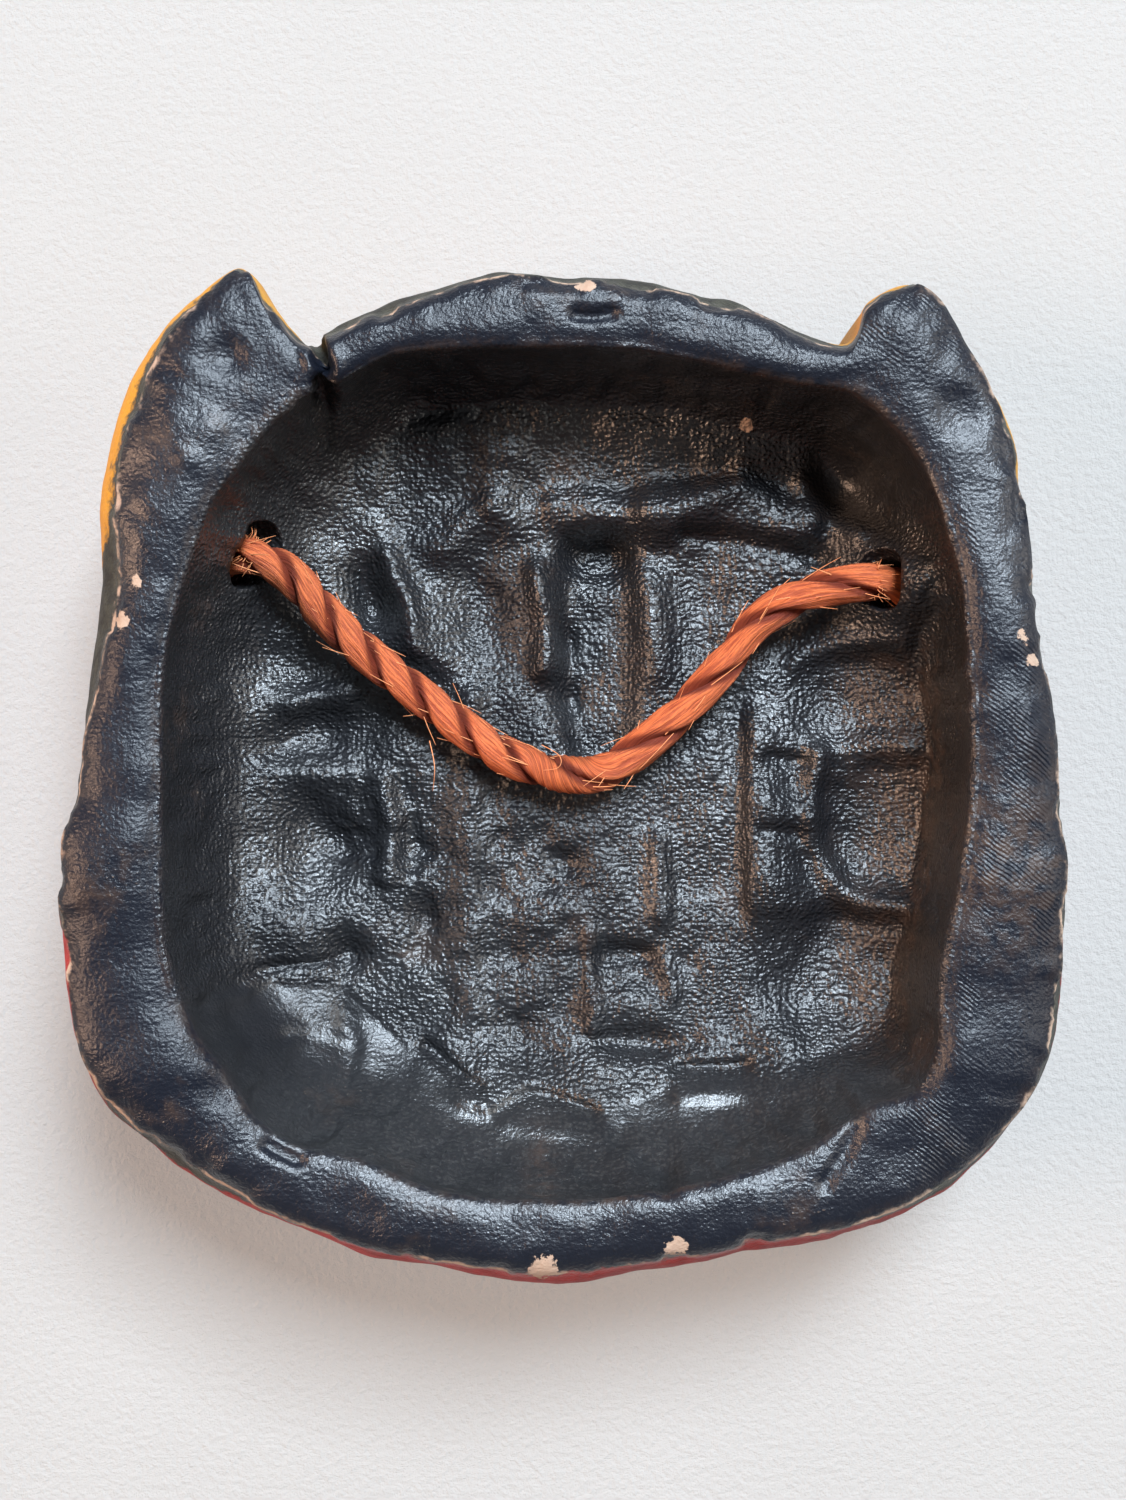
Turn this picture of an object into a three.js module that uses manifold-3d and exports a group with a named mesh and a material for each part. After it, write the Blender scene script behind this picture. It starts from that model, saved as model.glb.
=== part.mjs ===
// A small oni mask of press-moulded clay, lying face down, with the hemp cord that it hangs by.
// Units are millimetres. +Z is up, out of the hollow back, and +Y points to the forehead.
// The origin is on the resting plane, under the middle of the mask.

import * as THREE from "three";
import { mergeVertices } from "three/addons/utils/BufferGeometryUtils.js";
import Module from "manifold-3d";

const wasm = await Module();
wasm.setup();

// Driving dimensions of the clay body
const MASK_WIDTH = 138;
const MASK_HEIGHT = 141;
const MASK_DEPTH = 48;
const SIDE_LIP = 12.5;
const END_LIP = 11;
const LIP_INNER_DROP = 3.6;
const LIP_OUTER_DROP = 2.4;
const BAND_DROP = 7.5;
const CAVITY_DEPTH = 28;
const MIN_WALL = 5;
const WALL_BLEND = 1.5;
const FACE_HEIGHT = 11;
const FACE_EDGE_HEIGHT = 15.5;
const FACE_INSET = 12;
const REST_FLAT = 0.5;
const RIM_FLAT = 0.35;

// Driving dimensions of the cord, its holes and its knots
const ROPE_DIAMETER = 5.5;
const HOLE_CLEARANCE = 0.9;
const SCOOP_LENGTH = 10;
const KNOT_DIAMETER = 11;
const KNOT_LENGTH = 9;
const SEAT_GAP = 0.3;
const KNOT_SINK = 1.6;

// How finely the clay body is faceted
const CELLS = 34;
const WALL_ROWS = 3;
const LIP_ROWS = 4;
const BAND_ROWS = 1;
const FLANK_ROWS = 4;
const ROPE_SIDES = 8;
const ROPE_STEPS = 40;

const HALF_WIDTH = MASK_WIDTH / 2;
const HALF_HEIGHT = MASK_HEIGHT / 2;
const FLOOR_HEIGHT = MASK_DEPTH - CAVITY_DEPTH;

// The mask is star-shaped about its middle. A station has its place round the outline, counted in
// sides from the left horn, then its point on the outer edge and its point on the mouth of the hollow,
// both as shares of half the width and half the height.
const STATIONS = [
  [0.00, -0.642, 1.000, -0.63, 0.86],
  [0.06, -0.580, 0.927, -0.60, 0.88],
  [0.11, -0.506, 0.840, -0.57, 0.89],
  [0.16, -0.442, 0.884, -0.52, 0.91],
  [0.25, -0.322, 0.931, -0.41, 0.96],
  [0.40, -0.132, 0.987, -0.20, 0.98],
  [0.50, -0.002, 0.985, 0.00, 0.98],
  [0.62, 0.158, 0.972, 0.19, 0.97],
  [0.75, 0.349, 0.925, 0.42, 0.93],
  [0.85, 0.489, 0.868, 0.57, 0.90],
  [0.89, 0.575, 0.850, 0.65, 0.89],
  [0.94, 0.619, 0.930, 0.69, 0.88],
  [1.00, 0.711, 0.960, 0.73, 0.86],
  [1.08, 0.801, 0.860, 0.78, 0.82],
  [1.20, 0.901, 0.666, 0.86, 0.73],
  [1.30, 0.931, 0.490, 0.93, 0.57],
  [1.40, 0.945, 0.323, 0.97, 0.40],
  [1.51, 0.977, 0.116, 0.99, 0.15],
  [1.63, 0.997, -0.086, 0.98, -0.09],
  [1.75, 1.000, -0.294, 0.94, -0.32],
  [1.83, 0.996, -0.441, 0.91, -0.49],
  [1.91, 0.959, -0.588, 0.91, -0.62],
  [2.00, 0.879, -0.721, 0.85, -0.72],
  [2.07, 0.789, -0.801, 0.74, -0.76],
  [2.17, 0.615, -0.888, 0.58, -0.86],
  [2.30, 0.379, -0.944, 0.40, -0.92],
  [2.42, 0.156, -0.980, 0.17, -0.96],
  [2.53, -0.054, -1.000, -0.06, -0.97],
  [2.64, -0.242, -0.976, -0.29, -0.95],
  [2.75, -0.432, -0.935, -0.48, -0.88],
  [2.85, -0.606, -0.868, -0.63, -0.85],
  [2.93, -0.742, -0.790, -0.74, -0.78],
  [3.00, -0.842, -0.717, -0.80, -0.69],
  [3.05, -0.916, -0.650, -0.86, -0.62],
  [3.12, -0.974, -0.535, -0.90, -0.55],
  [3.22, -1.000, -0.353, -0.95, -0.38],
  [3.33, -0.992, -0.137, -0.96, -0.17],
  [3.43, -0.970, 0.033, -0.96, 0.03],
  [3.52, -0.940, 0.196, -0.96, 0.22],
  [3.61, -0.916, 0.362, -0.92, 0.41],
  [3.70, -0.920, 0.539, -0.85, 0.61],
  [3.80, -0.892, 0.719, -0.76, 0.73],
  [3.89, -0.814, 0.856, -0.69, 0.81],
  [3.95, -0.726, 0.946, -0.65, 0.84],
];

// Round the mask: how wide the bare band outside the lip shows, in millimetres, how far the cavity
// wall leans in between mouth and floor, and how far the lip's crown stands off its mean height.
const BAND_WIDTH = [
  [0.0, 1.6], [0.3, 1.8], [0.9, 1.4], [1.1, 0.9], [1.8, 0.9],
  [2.1, 2.2], [2.6, 2.6], [3.05, 2.2], [3.33, 0.9], [3.52, 1.8], [3.7, 3.7], [3.9, 3.2],
];
const WALL_RUN = [
  [0.0, 7], [0.3, 4.5], [0.7, 4.5], [1.0, 7], [1.3, 3.5], [1.8, 4],
  [2.0, 8], [2.3, 13], [2.6, 14], [2.9, 11], [3.1, 6], [3.4, 4], [3.8, 4.5],
];
const CROWN_RISE = [
  [0.0, -0.4], [0.12, -1.2], [0.3, -0.3], [0.55, 0], [0.85, -0.8], [1.0, -0.2], [1.35, -0.7], [1.75, 0],
  [2.15, -0.5], [2.5, 0], [2.85, -0.6], [3.25, 0], [3.6, -0.7], [3.85, -0.2],
];

// Value of each column of a closed table at a place round the outline, by a smooth curve.
function around(table, place) {
  const turns = 4;
  const at = ((place % turns) + turns) % turns;
  const count = table.length;
  let low = count - 1;
  while (low > 0 && table[low][0] > at) low -= 1;
  const row = (offset) => table[(low + offset + count) % count];
  const key = (offset) => row(offset)[0] + turns * Math.floor((low + offset) / count);
  const [before, start, end, after] = [key(-1), key(0), key(1), key(2)];
  const span = end - start;
  const share = (at - start) / span;
  return row(0).slice(1).map((value, column) => {
    const pick = (offset) => row(offset)[column + 1];
    const leaveSlope = ((pick(1) - pick(-1)) / (end - before)) * span;
    const arriveSlope = ((pick(2) - pick(0)) / (after - start)) * span;
    const rest = 1 - share;
    return value * (1 + 2 * share) * rest * rest + pick(1) * share * share * (3 - 2 * share)
      + leaveSlope * share * rest * rest - arriveSlope * share * share * rest;
  });
}

function outerPoint(place) {
  const [x, y] = around(STATIONS, place);
  return new THREE.Vector2(x * HALF_WIDTH, y * HALF_HEIGHT);
}

function mouthPoint(place) {
  const [, , x, y] = around(STATIONS, place);
  return new THREE.Vector2(x * (HALF_WIDTH - SIDE_LIP), y * (HALF_HEIGHT - END_LIP));
}

// A point moved towards the middle of the mask by a distance.
function inward(point, distance) {
  return point.clone().multiplyScalar(1 - distance / point.length());
}

// Relief shapes. Each takes a point and gives a height share.
const bell = (x, y, reachX, reachY, turn = 0) => (px, py) => {
  const [cos, sin] = [Math.cos(turn), Math.sin(turn)];
  const along = ((px - x) * cos + (py - y) * sin) / reachX;
  const across = ((py - y) * cos - (px - x) * sin) / reachY;
  return Math.exp(-along * along - across * across);
};

const mound = (x, y, radiusX, radiusY = radiusX) => (px, py) => {
  const away = Math.hypot((px - x) / radiusX, (py - y) / radiusY);
  return away < 1 ? Math.cos((away * Math.PI) / 2) : 0;
};

const ridge = (width, ...points) => (px, py) => {
  let nearest = Infinity;
  for (let i = 0; i + 1 < points.length; i += 1) {
    const [ax, ay] = points[i];
    const [bx, by] = points[i + 1];
    const [dx, dy] = [bx - ax, by - ay];
    const share = THREE.MathUtils.clamp(((px - ax) * dx + (py - ay) * dy) / (dx * dx + dy * dy), 0, 1);
    nearest = Math.min(nearest, Math.hypot(px - ax - share * dx, py - ay - share * dy));
  }
  return Math.exp(-((nearest / width) ** 2));
};

// The relief is drawn on a plate of this size and stretched to the mask's own size.
const PLATE_WIDTH = 138;
const PLATE_HEIGHT = 141;
const relief = (list) => (x, y) => {
  const [px, py] = [(x / MASK_WIDTH) * PLATE_WIDTH, (y / MASK_HEIGHT) * PLATE_HEIGHT];
  return list.reduce((sum, [height, form]) => sum + height * form(px, py), 0);
};

// The hollow back, a rough negative of the face: hollows are below zero, crests above.
const backForm = relief([
  [-4.5, bell(-27.5, 25, 6, 7.5)],
  [3.0, ridge(4.2, [-20, 33], [-16, 25], [-17, 16])],
  [2.4, ridge(4.2, [-8, 45], [-15, 35], [-20, 33])],
  [2.8, ridge(4.2, [0, 40.5], [12, 39.5], [25, 43], [35, 40])],
  [-6.5, ridge(5.2, [5.5, 32], [5.5, 9])],
  [2.4, ridge(3.6, [-4.5, 28], [-3.5, 17])],
  [1.8, ridge(3.8, [15.5, 30], [16, 15])],
  [-2.4, ridge(4.2, [20, 32], [37, 30])],
  [-4.5, bell(44, 43, 7.5, 7.5)],
  [-2.8, bell(46, 11, 8, 6)],
  [-5.0, bell(48, -8.5, 8, 8)],
  [-4.4, bell(45.5, -33, 9.5, 9.5)],
  [2.6, ridge(3.8, [36, 4], [37, -10], [42, -18.5], [50, -20.5])],
  [1.8, ridge(4.6, [33, 10], [33, -20])],
  [2.4, ridge(3.8, [-40, 10], [-29, 15])],
  [-3.2, bell(-38, 4.5, 8, 4.5)],
  [-4.5, bell(-36, -10.5, 8.5, 6.5)],
  [2.4, ridge(3.8, [-25, 0], [-24, -9], [-25.5, -16])],
  [-2.8, bell(-33, -27.5, 4.5, 4.5)],
  [1.4, ridge(4.2, [-13.6, 10], [-13.6, -40])],
  [-2.2, bell(1, -12, 5, 4)],
  [2.0, bell(-2, -21, 6, 4)],
  [-2.8, bell(10.5, -27, 6, 4)],
  [-2.6, bell(12, -40, 7, 4)],
  [2.2, ridge(3.8, [-20, -40], [-12, -46], [-4, -45], [5, -48])],
  [2.0, ridge(3.8, [20, -45], [28, -44], [35, -42])],
]);

// The face's features stand out of its dome. The face is a little off the middle of the clay, and
// pairs are set either side of its own axis, the curls and horns either side of the mask's.
const FACE_AXIS = 3;
const pair = (axis, make) => [-1, 1].map((side) => make((x) => axis + side * x));
const NOSE = [
  [7.5, ridge(4.8, [FACE_AXIS, 29], [FACE_AXIS, 9])],
  [8, mound(FACE_AXIS, 3.5, 12, 10.5)],
  ...pair(FACE_AXIS, (x) => [6.5, mound(x(11), 1.5, 8.5, 7.5)]),
];
const BROWS = pair(FACE_AXIS, (x) => [8.4, ridge(5.4, [x(8), 27.5], [x(16), 34], [x(27), 38.5], [x(38), 35])])
  .concat(pair(FACE_AXIS, (x) => [5.4, mound(x(18), 37, 13, 11)]));
const EYES = pair(FACE_AXIS, (x) => [8.5, mound(x(22), 18, 12.5, 10)]);
const CHEEKS = pair(FACE_AXIS, (x) => [5, bell(x(30), -3, 8, 7)])
  .concat(pair(FACE_AXIS, (x) => [4, ridge(4.2, [x(16), -5], [x(25), -12], [x(29), -24])]));
const MOUTH = [
  [5, ridge(4.2, [-20, -21], [-12, -14], [-4, -12.5], [FACE_AXIS, -14], [10, -12.5], [18, -14], [26, -21])],
  [6, ridge(4.2, [-19, -28], [-10, -35.5], [FACE_AXIS, -37.5], [16, -35.5], [25, -28])],
  [-3, mound(FACE_AXIS, -24.5, 24, 12)],
  ...pair(FACE_AXIS, (x) => [4.5, ridge(3.4, [x(15), -18], [x(13.5), -25])]),
  ...pair(FACE_AXIS, (x) => [4, ridge(3.4, [x(8), -33], [x(8), -27])]),
];
const CHIN = [[14.5, mound(FACE_AXIS, -50, 18, 14)]];
const CURLS = [
  ...pair(0, (x) => [7, mound(x(47), 11, 12)]),
  ...pair(0, (x) => [7, mound(x(48), -11, 12)]),
  ...pair(0, (x) => [7, mound(x(44), -33, 12.5)]),
  ...pair(0, (x) => [6.5, mound(x(27), -50, 11.5)]),
];
const HORNS = pair(0, (x) => [8, ridge(7.5, [x(30), 49], [x(37), 56], [x(45), 66])]);
const HAIR = pair(0, (x) => [4, ridge(4, [x(5), 62], [x(7), 52], [x(13), 48])])
  .concat(pair(0, (x) => [4, ridge(4, [x(17), 61], [x(19), 53], [x(25), 48])]));
const frontForm = relief([
  ...NOSE, ...BROWS, ...EYES, ...CHEEKS, ...MOUTH, ...CHIN, ...CURLS, ...HORNS, ...HAIR,
]);

const crownHeight = (place) => MASK_DEPTH + RIM_FLAT + around(CROWN_RISE, place)[0];

// Height of the cavity floor. The chin end lies a little shallower than the forehead.
function floorHeight(x, y) {
  const chinRise = 3 * THREE.MathUtils.smoothstep(-y, 0.5 * HALF_HEIGHT, 0.9 * HALF_HEIGHT);
  return FLOOR_HEIGHT + chinRise + backForm(x, y);
}

// Height of the face's surface: a low dome with its relief. It stays a wall's thickness under the
// floor, eased over a blend, and stops a little under the resting plane.
function faceHeight(x, y, ring) {
  const dome = THREE.MathUtils.lerp(FACE_HEIGHT, FACE_EDGE_HEIGHT, ring ** 3);
  const fade = 1 - THREE.MathUtils.smoothstep(ring, 0.9, 1.02);
  const carved = dome - frontForm(x, y) * fade;
  const thinnest = floorHeight(x, y) - MIN_WALL;
  const share = THREE.MathUtils.clamp(0.5 + (thinnest - carved) / (2 * WALL_BLEND), 0, 1);
  const eased = THREE.MathUtils.lerp(thinnest, carved, share) - WALL_BLEND * share * (1 - share);
  return Math.max(eased, -REST_FLAT);
}

// Surface points of the clay body, row by row, at a place round the mask.
const mix = (from, to, share) => from.clone().lerp(to, share);
const raised = (point, height) => new THREE.Vector3(point.x, point.y, height);

function wallPoint(place, share) {
  const mouth = mouthPoint(place);
  const turn = (share * Math.PI) / 2;
  const point = inward(mouth, around(WALL_RUN, place)[0] * (1 - Math.cos(turn)));
  const foot = inward(mouth, around(WALL_RUN, place)[0]);
  const top = crownHeight(place) - LIP_INNER_DROP;
  return raised(point, THREE.MathUtils.lerp(top, floorHeight(foot.x, foot.y), Math.sin(turn)));
}

function lipPoint(place, share) {
  const outer = inward(outerPoint(place), around(BAND_WIDTH, place)[0]);
  const point = mix(mouthPoint(place), outer, share);
  const off = Math.abs(2 * share - 1) ** 2.6;
  const drop = share < 0.5 ? LIP_INNER_DROP : LIP_OUTER_DROP;
  return raised(point, crownHeight(place) - drop * off);
}

function bandPoint(place, share) {
  const outer = outerPoint(place);
  const edge = inward(outer, around(BAND_WIDTH, place)[0]);
  const height = crownHeight(place) - LIP_OUTER_DROP - BAND_DROP * share;
  return raised(mix(edge, outer, Math.sin((share * Math.PI) / 2)), height);
}

function flankPoint(place, share) {
  const outer = outerPoint(place);
  const point = inward(outer, FACE_INSET * share ** 1.9);
  const foot = inward(outer, FACE_INSET);
  const top = bandPoint(place, 1).z;
  return raised(point, THREE.MathUtils.lerp(top, faceHeight(foot.x, foot.y, 1), share ** 0.9));
}

// The two faces are square grids drawn out to the round outline, ring by ring.
function gridPoint(column, row, edgePoint, heightAt) {
  const u = (2 * column) / CELLS - 1;
  const v = 1 - (2 * row) / CELLS;
  const ring = Math.max(Math.abs(u), Math.abs(v));
  if (ring === 0) return raised(new THREE.Vector2(), heightAt(0, 0, 0));
  const [a, b] = [u / ring, v / ring];
  let place = (a + 1) / 2;
  if (a === 1 && b < 1) place = 1 + (1 - b) / 2;
  else if (b === -1) place = 2 + (1 - a) / 2;
  else if (a === -1 && b < 1) place = 3 + (b + 1) / 2;
  const point = edgePoint(place).multiplyScalar(ring);
  return raised(point, heightAt(point.x, point.y, ring));
}

const floorEdge = (place) => inward(mouthPoint(place), around(WALL_RUN, place)[0]);
const faceEdge = (place) => inward(outerPoint(place), FACE_INSET);

// One closed surface: floor grid, wall, lip, band and flank rows, then the face grid.
function bodyGeometry() {
  const positions = [];
  const indices = [];
  const perimeter = 4 * CELLS;
  const store = (point) => positions.push(point.x, point.y, point.z) / 3 - 1;
  const heightOf = (id) => positions[3 * id + 2];
  const quad = (a, b, c, d) => {
    const levelAcross = Math.abs(heightOf(a) - heightOf(c)) <= Math.abs(heightOf(b) - heightOf(d));
    indices.push(...(levelAcross ? [a, b, c, a, c, d] : [b, c, d, b, d, a]));
  };

  // Adds a grid and returns the ids round its edge, from the left horn clockwise.
  const addGrid = (edgePoint, heightAt, upward) => {
    const first = positions.length / 3;
    const id = (column, row) => first + row * (CELLS + 1) + column;
    for (let row = 0; row <= CELLS; row += 1) {
      for (let column = 0; column <= CELLS; column += 1) {
        store(gridPoint(column, row, edgePoint, heightAt));
      }
    }
    for (let row = 0; row < CELLS; row += 1) {
      for (let column = 0; column < CELLS; column += 1) {
        const corners = [id(column, row), id(column, row + 1), id(column + 1, row + 1), id(column + 1, row)];
        quad(...(upward ? corners : corners.reverse()));
      }
    }
    return Array.from({ length: perimeter }, (_, i) => {
      const [side, along] = [Math.floor(i / CELLS), i % CELLS];
      if (side === 0) return id(along, 0);
      if (side === 1) return id(CELLS, along);
      if (side === 2) return id(CELLS - along, CELLS);
      return id(0, CELLS - along);
    });
  };

  const floorRing = addGrid(floorEdge, (x, y) => floorHeight(x, y), true);
  const faceRing = addGrid(faceEdge, faceHeight, false);
  const rows = [];
  const sections = [
    [WALL_ROWS, (place, share) => wallPoint(place, 1 - share)],
    [LIP_ROWS, lipPoint],
    [BAND_ROWS, bandPoint],
    [FLANK_ROWS, flankPoint],
  ];
  for (const [count, pointAt] of sections) {
    for (let row = 1; row <= count; row += 1) rows.push([pointAt, row / count]);
  }
  rows.pop();
  let inner = floorRing;
  const join = (ring) => {
    for (let i = 0; i < perimeter; i += 1) {
      const next = (i + 1) % perimeter;
      quad(inner[i], inner[next], ring[next], ring[i]);
    }
    inner = ring;
  };
  for (const [pointAt, share] of rows) {
    join(Array.from({ length: perimeter }, (_, i) => store(pointAt(i / CELLS, share))));
  }
  join(faceRing);
  const geometry = new THREE.BufferGeometry();
  geometry.setAttribute("position", new THREE.Float32BufferAttribute(positions, 3));
  geometry.setIndex(indices);
  return geometry;
}

// Solids for cutting
function solidOf(geometry) {
  const bare = geometry.clone();
  for (const name of Object.keys(bare.attributes)) {
    if (name !== "position") bare.deleteAttribute(name);
  }
  const merged = mergeVertices(bare, 1e-3);
  return new wasm.Manifold(new wasm.Mesh({
    numProp: 3,
    vertProperties: new Float32Array(merged.attributes.position.array),
    triVerts: new Uint32Array(merged.index.array),
  }));
}

function geometryOf(solid) {
  const mesh = solid.getMesh();
  const geometry = new THREE.BufferGeometry();
  geometry.setAttribute("position", new THREE.Float32BufferAttribute(mesh.vertProperties, 3));
  geometry.setIndex(Array.from(mesh.triVerts));
  return geometry;
}

// The cord's knots sit on the flanks at the temples, sunk a little into the clay. Each has its place
// round the outline, and its share of the way down the flank.
const TEMPLES = { left: [3.655, 0.8], right: [1.355, 0.8] };
const outwardsAt = {};
const KNOTS = {};
for (const [side, [place, share]] of Object.entries(TEMPLES)) {
  const seat = flankPoint(place, share);
  outwardsAt[side] = new THREE.Vector3(seat.x, 0, -0.75 * Math.abs(seat.x)).normalize();
  KNOTS[side] = seat.addScaledVector(outwardsAt[side], KNOT_LENGTH / 2 - KNOT_SINK);
}

// The cord's route between the knots, as chosen points on the plate, each with the cord's lift off
// the cavity floor. It leaves each hole, lies in a V across the nose hollow and enters the other hole.
const cordPoint = ([x, y, lift]) => new THREE.Vector3(
  (x / PLATE_WIDTH) * MASK_WIDTH, (y / PLATE_HEIGHT) * MASK_HEIGHT, FLOOR_HEIGHT + ROPE_DIAMETER / 2 + lift,
);
const ROUTE = [
  [-46.3, 31.8, 5.3],
  [-40, 29.3, 5.9],
  [-34.3, 23.2, 4.9],
  [-28.2, 17.4, 3.9],
  [-19.2, 10.4, 3.1],
  [-10.8, 4.2, 2.8],
  [-5.1, 1.3, 2.5],
  [1.6, -0.2, 2.3],
  [7, 0.6, 2.3],
  [14.5, 6.1, 2.5],
  [20.1, 11.5, 2.9],
  [24.7, 16.8, 3.5],
  [28.4, 21.8, 4.3],
  [33.5, 25.3, 5.1],
  [40, 27.2, 5.9],
  [46.8, 27.8, 5.3],
].map(cordPoint);
const innerEnds = { left: ROUTE[0], right: ROUTE[ROUTE.length - 1] };
const halfway = (side) => KNOTS[side].clone().lerp(innerEnds[side], 0.5);
const ropeCurve = new THREE.CatmullRomCurve3(
  [KNOTS.left, halfway("left"), ...ROUTE, halfway("right"), KNOTS.right], false, "centripetal",
);

// A knot is a squat lump with its long axis along the cord, lobed like two crossed turns.
function knotGeometry(centre, outwards) {
  const geometry = new THREE.SphereGeometry(KNOT_DIAMETER / 2, 12, 8);
  const points = geometry.attributes.position;
  for (let i = 0; i < points.count; i += 1) {
    const point = new THREE.Vector3().fromBufferAttribute(points, i);
    const swell = 1 + 0.07 * Math.cos(3 * Math.atan2(point.z, point.x));
    const onAxis = Math.hypot(point.x, point.z) < 1e-6;
    if (!onAxis) point.set(point.x * swell, point.y, point.z * swell);
    point.y *= KNOT_LENGTH / KNOT_DIAMETER;
    points.setXYZ(i, point.x, point.y, point.z);
  }
  const turn = new THREE.Quaternion().setFromUnitVectors(new THREE.Vector3(0, 1, 0), outwards);
  return geometry.applyQuaternion(turn).translate(centre.x, centre.y, centre.z);
}

// The cord's own solid stops short of each knot's surface by the seat gap.
function ropeGeometry() {
  const total = ropeCurve.getLength();
  const trim = KNOT_LENGTH / 2 + SEAT_GAP;
  const points = [];
  for (let step = 0; step <= ROPE_STEPS; step += 1) {
    points.push(ropeCurve.getPointAt((trim + ((total - 2 * trim) * step) / ROPE_STEPS) / total));
  }
  const section = new THREE.Shape();
  for (let side = 0; side < ROPE_SIDES; side += 1) {
    const turn = (2 * Math.PI * side) / ROPE_SIDES;
    const [x, y] = [(ROPE_DIAMETER / 2) * Math.cos(turn), (ROPE_DIAMETER / 2) * Math.sin(turn)];
    if (side === 0) section.moveTo(x, y);
    else section.lineTo(x, y);
  }
  section.closePath();
  const extrudePath = new THREE.CatmullRomCurve3(points, false, "centripetal");
  return new THREE.ExtrudeGeometry(section, { steps: ROPE_STEPS, extrudePath, bevelEnabled: false });
}

// The hole round the cord, followed by a scoop at its inner end and a seat for the knot.
function holeCutters(knotCentre, innerPoint) {
  const axis = knotCentre.clone().sub(innerPoint);
  const length = axis.length() + KNOT_DIAMETER;
  const radius = ROPE_DIAMETER / 2 + HOLE_CLEARANCE;
  const bore = new THREE.CylinderGeometry(radius, radius, length, 12);
  const up = new THREE.Vector3(0, 1, 0);
  bore.applyQuaternion(new THREE.Quaternion().setFromUnitVectors(up, axis.clone().normalize()));
  const middle = innerPoint.clone().add(knotCentre).multiplyScalar(0.5);
  bore.translate(middle.x, middle.y, middle.z);
  const scoop = new THREE.SphereGeometry(radius, 12, 8);
  scoop.scale(SCOOP_LENGTH / 2 / radius, 1.05, 1.15).translate(innerPoint.x, innerPoint.y, innerPoint.z);
  return [bore, scoop];
}

function maskBody() {
  let solid = solidOf(bodyGeometry());
  for (const side of ["left", "right"]) {
    for (const cutter of holeCutters(KNOTS[side], innerEnds[side])) {
      solid = solid.subtract(solidOf(cutter));
    }
    const seatScale = 1 + (2 * SEAT_GAP) / KNOT_LENGTH;
    const seat = knotGeometry(new THREE.Vector3(), outwardsAt[side]).scale(seatScale, seatScale, seatScale);
    seat.translate(KNOTS[side].x, KNOTS[side].y, KNOTS[side].z);
    solid = solid.subtract(solidOf(seat));
  }
  const slab = (from) => new THREE.BoxGeometry(2 * MASK_WIDTH, 2 * MASK_HEIGHT, MASK_DEPTH)
    .translate(0, 0, from + MASK_DEPTH / 2);
  solid = solid.subtract(solidOf(slab(MASK_DEPTH)));
  solid = solid.subtract(solidOf(slab(-MASK_DEPTH)));
  return geometryOf(solid);
}

function clayMaterial() {
  return new THREE.MeshStandardMaterial({ color: 0x17191d, roughness: 0.42, metalness: 0 });
}

function hempMaterial() {
  return new THREE.MeshStandardMaterial({ color: 0xb9552c, roughness: 0.85, metalness: 0 });
}

const mask = new THREE.Group();
function add(name, geometry, material) {
  const mesh = new THREE.Mesh(geometry, material);
  mesh.name = name;
  mask.add(mesh);
}
add("mask_body", maskBody(), clayMaterial());
add("rope", ropeGeometry(), hempMaterial());
add("rope_knot_left", knotGeometry(KNOTS.left, outwardsAt.left), hempMaterial());
add("rope_knot_right", knotGeometry(KNOTS.right, outwardsAt.right), hempMaterial());

export default mask;
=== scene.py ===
"""A small clay oni mask lying face down, seen from above, with its twisted hemp cord.

Lengths are millimetres in the part's own frame, turned to metres when a mesh is made.
"""
import itertools
import math

import bpy
import numpy as np
from mathutils import Matrix, Vector
from mathutils.kdtree import KDTree


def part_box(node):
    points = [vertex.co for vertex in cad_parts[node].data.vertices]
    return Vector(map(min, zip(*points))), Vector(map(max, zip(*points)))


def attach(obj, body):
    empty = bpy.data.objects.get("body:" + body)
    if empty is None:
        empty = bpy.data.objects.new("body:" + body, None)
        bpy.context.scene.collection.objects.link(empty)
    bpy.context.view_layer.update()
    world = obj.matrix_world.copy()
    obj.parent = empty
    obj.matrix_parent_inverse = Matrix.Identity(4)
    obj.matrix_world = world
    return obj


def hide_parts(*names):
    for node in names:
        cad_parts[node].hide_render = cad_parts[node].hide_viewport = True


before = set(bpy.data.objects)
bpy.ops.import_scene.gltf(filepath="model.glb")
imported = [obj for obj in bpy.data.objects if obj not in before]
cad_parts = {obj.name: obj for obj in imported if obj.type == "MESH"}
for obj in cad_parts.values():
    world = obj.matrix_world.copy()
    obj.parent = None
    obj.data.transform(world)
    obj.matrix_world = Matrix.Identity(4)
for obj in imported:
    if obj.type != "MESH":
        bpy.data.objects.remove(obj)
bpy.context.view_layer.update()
MM = 0.001
random = np.random.default_rng(11)

# Sizes of the clay body, from the frame where it has them
low, high = (np.array(corner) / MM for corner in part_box("mask_body"))
HALF_WIDTH, HALF_HEIGHT = (high[:2] - low[:2]) / 2
DEPTH = high[2]
SIDE_LIP = 12.5
END_LIP = 11.0
LIP_INNER_DROP = 1.3
LIP_OUTER_DROP = 1.6
BAND_DROP = 7.5
FLOOR_HEIGHT = DEPTH - 28
MIN_WALL = 5.0
WALL_BLEND = 1.5
FACE_HEIGHT = 11.0
FACE_EDGE_HEIGHT = 15.5
FACE_INSET = 12.0

# Sizes of the cord
ROPE_DIAMETER = 5.5
STRAND_REACH = 1.15
STRAND_THICK = 1.55
STRAND_WIDE = 2.15
LEFT_LAY = 17.0
RIGHT_LAY = 25.0
KNOT_LAY = 13.0

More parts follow.
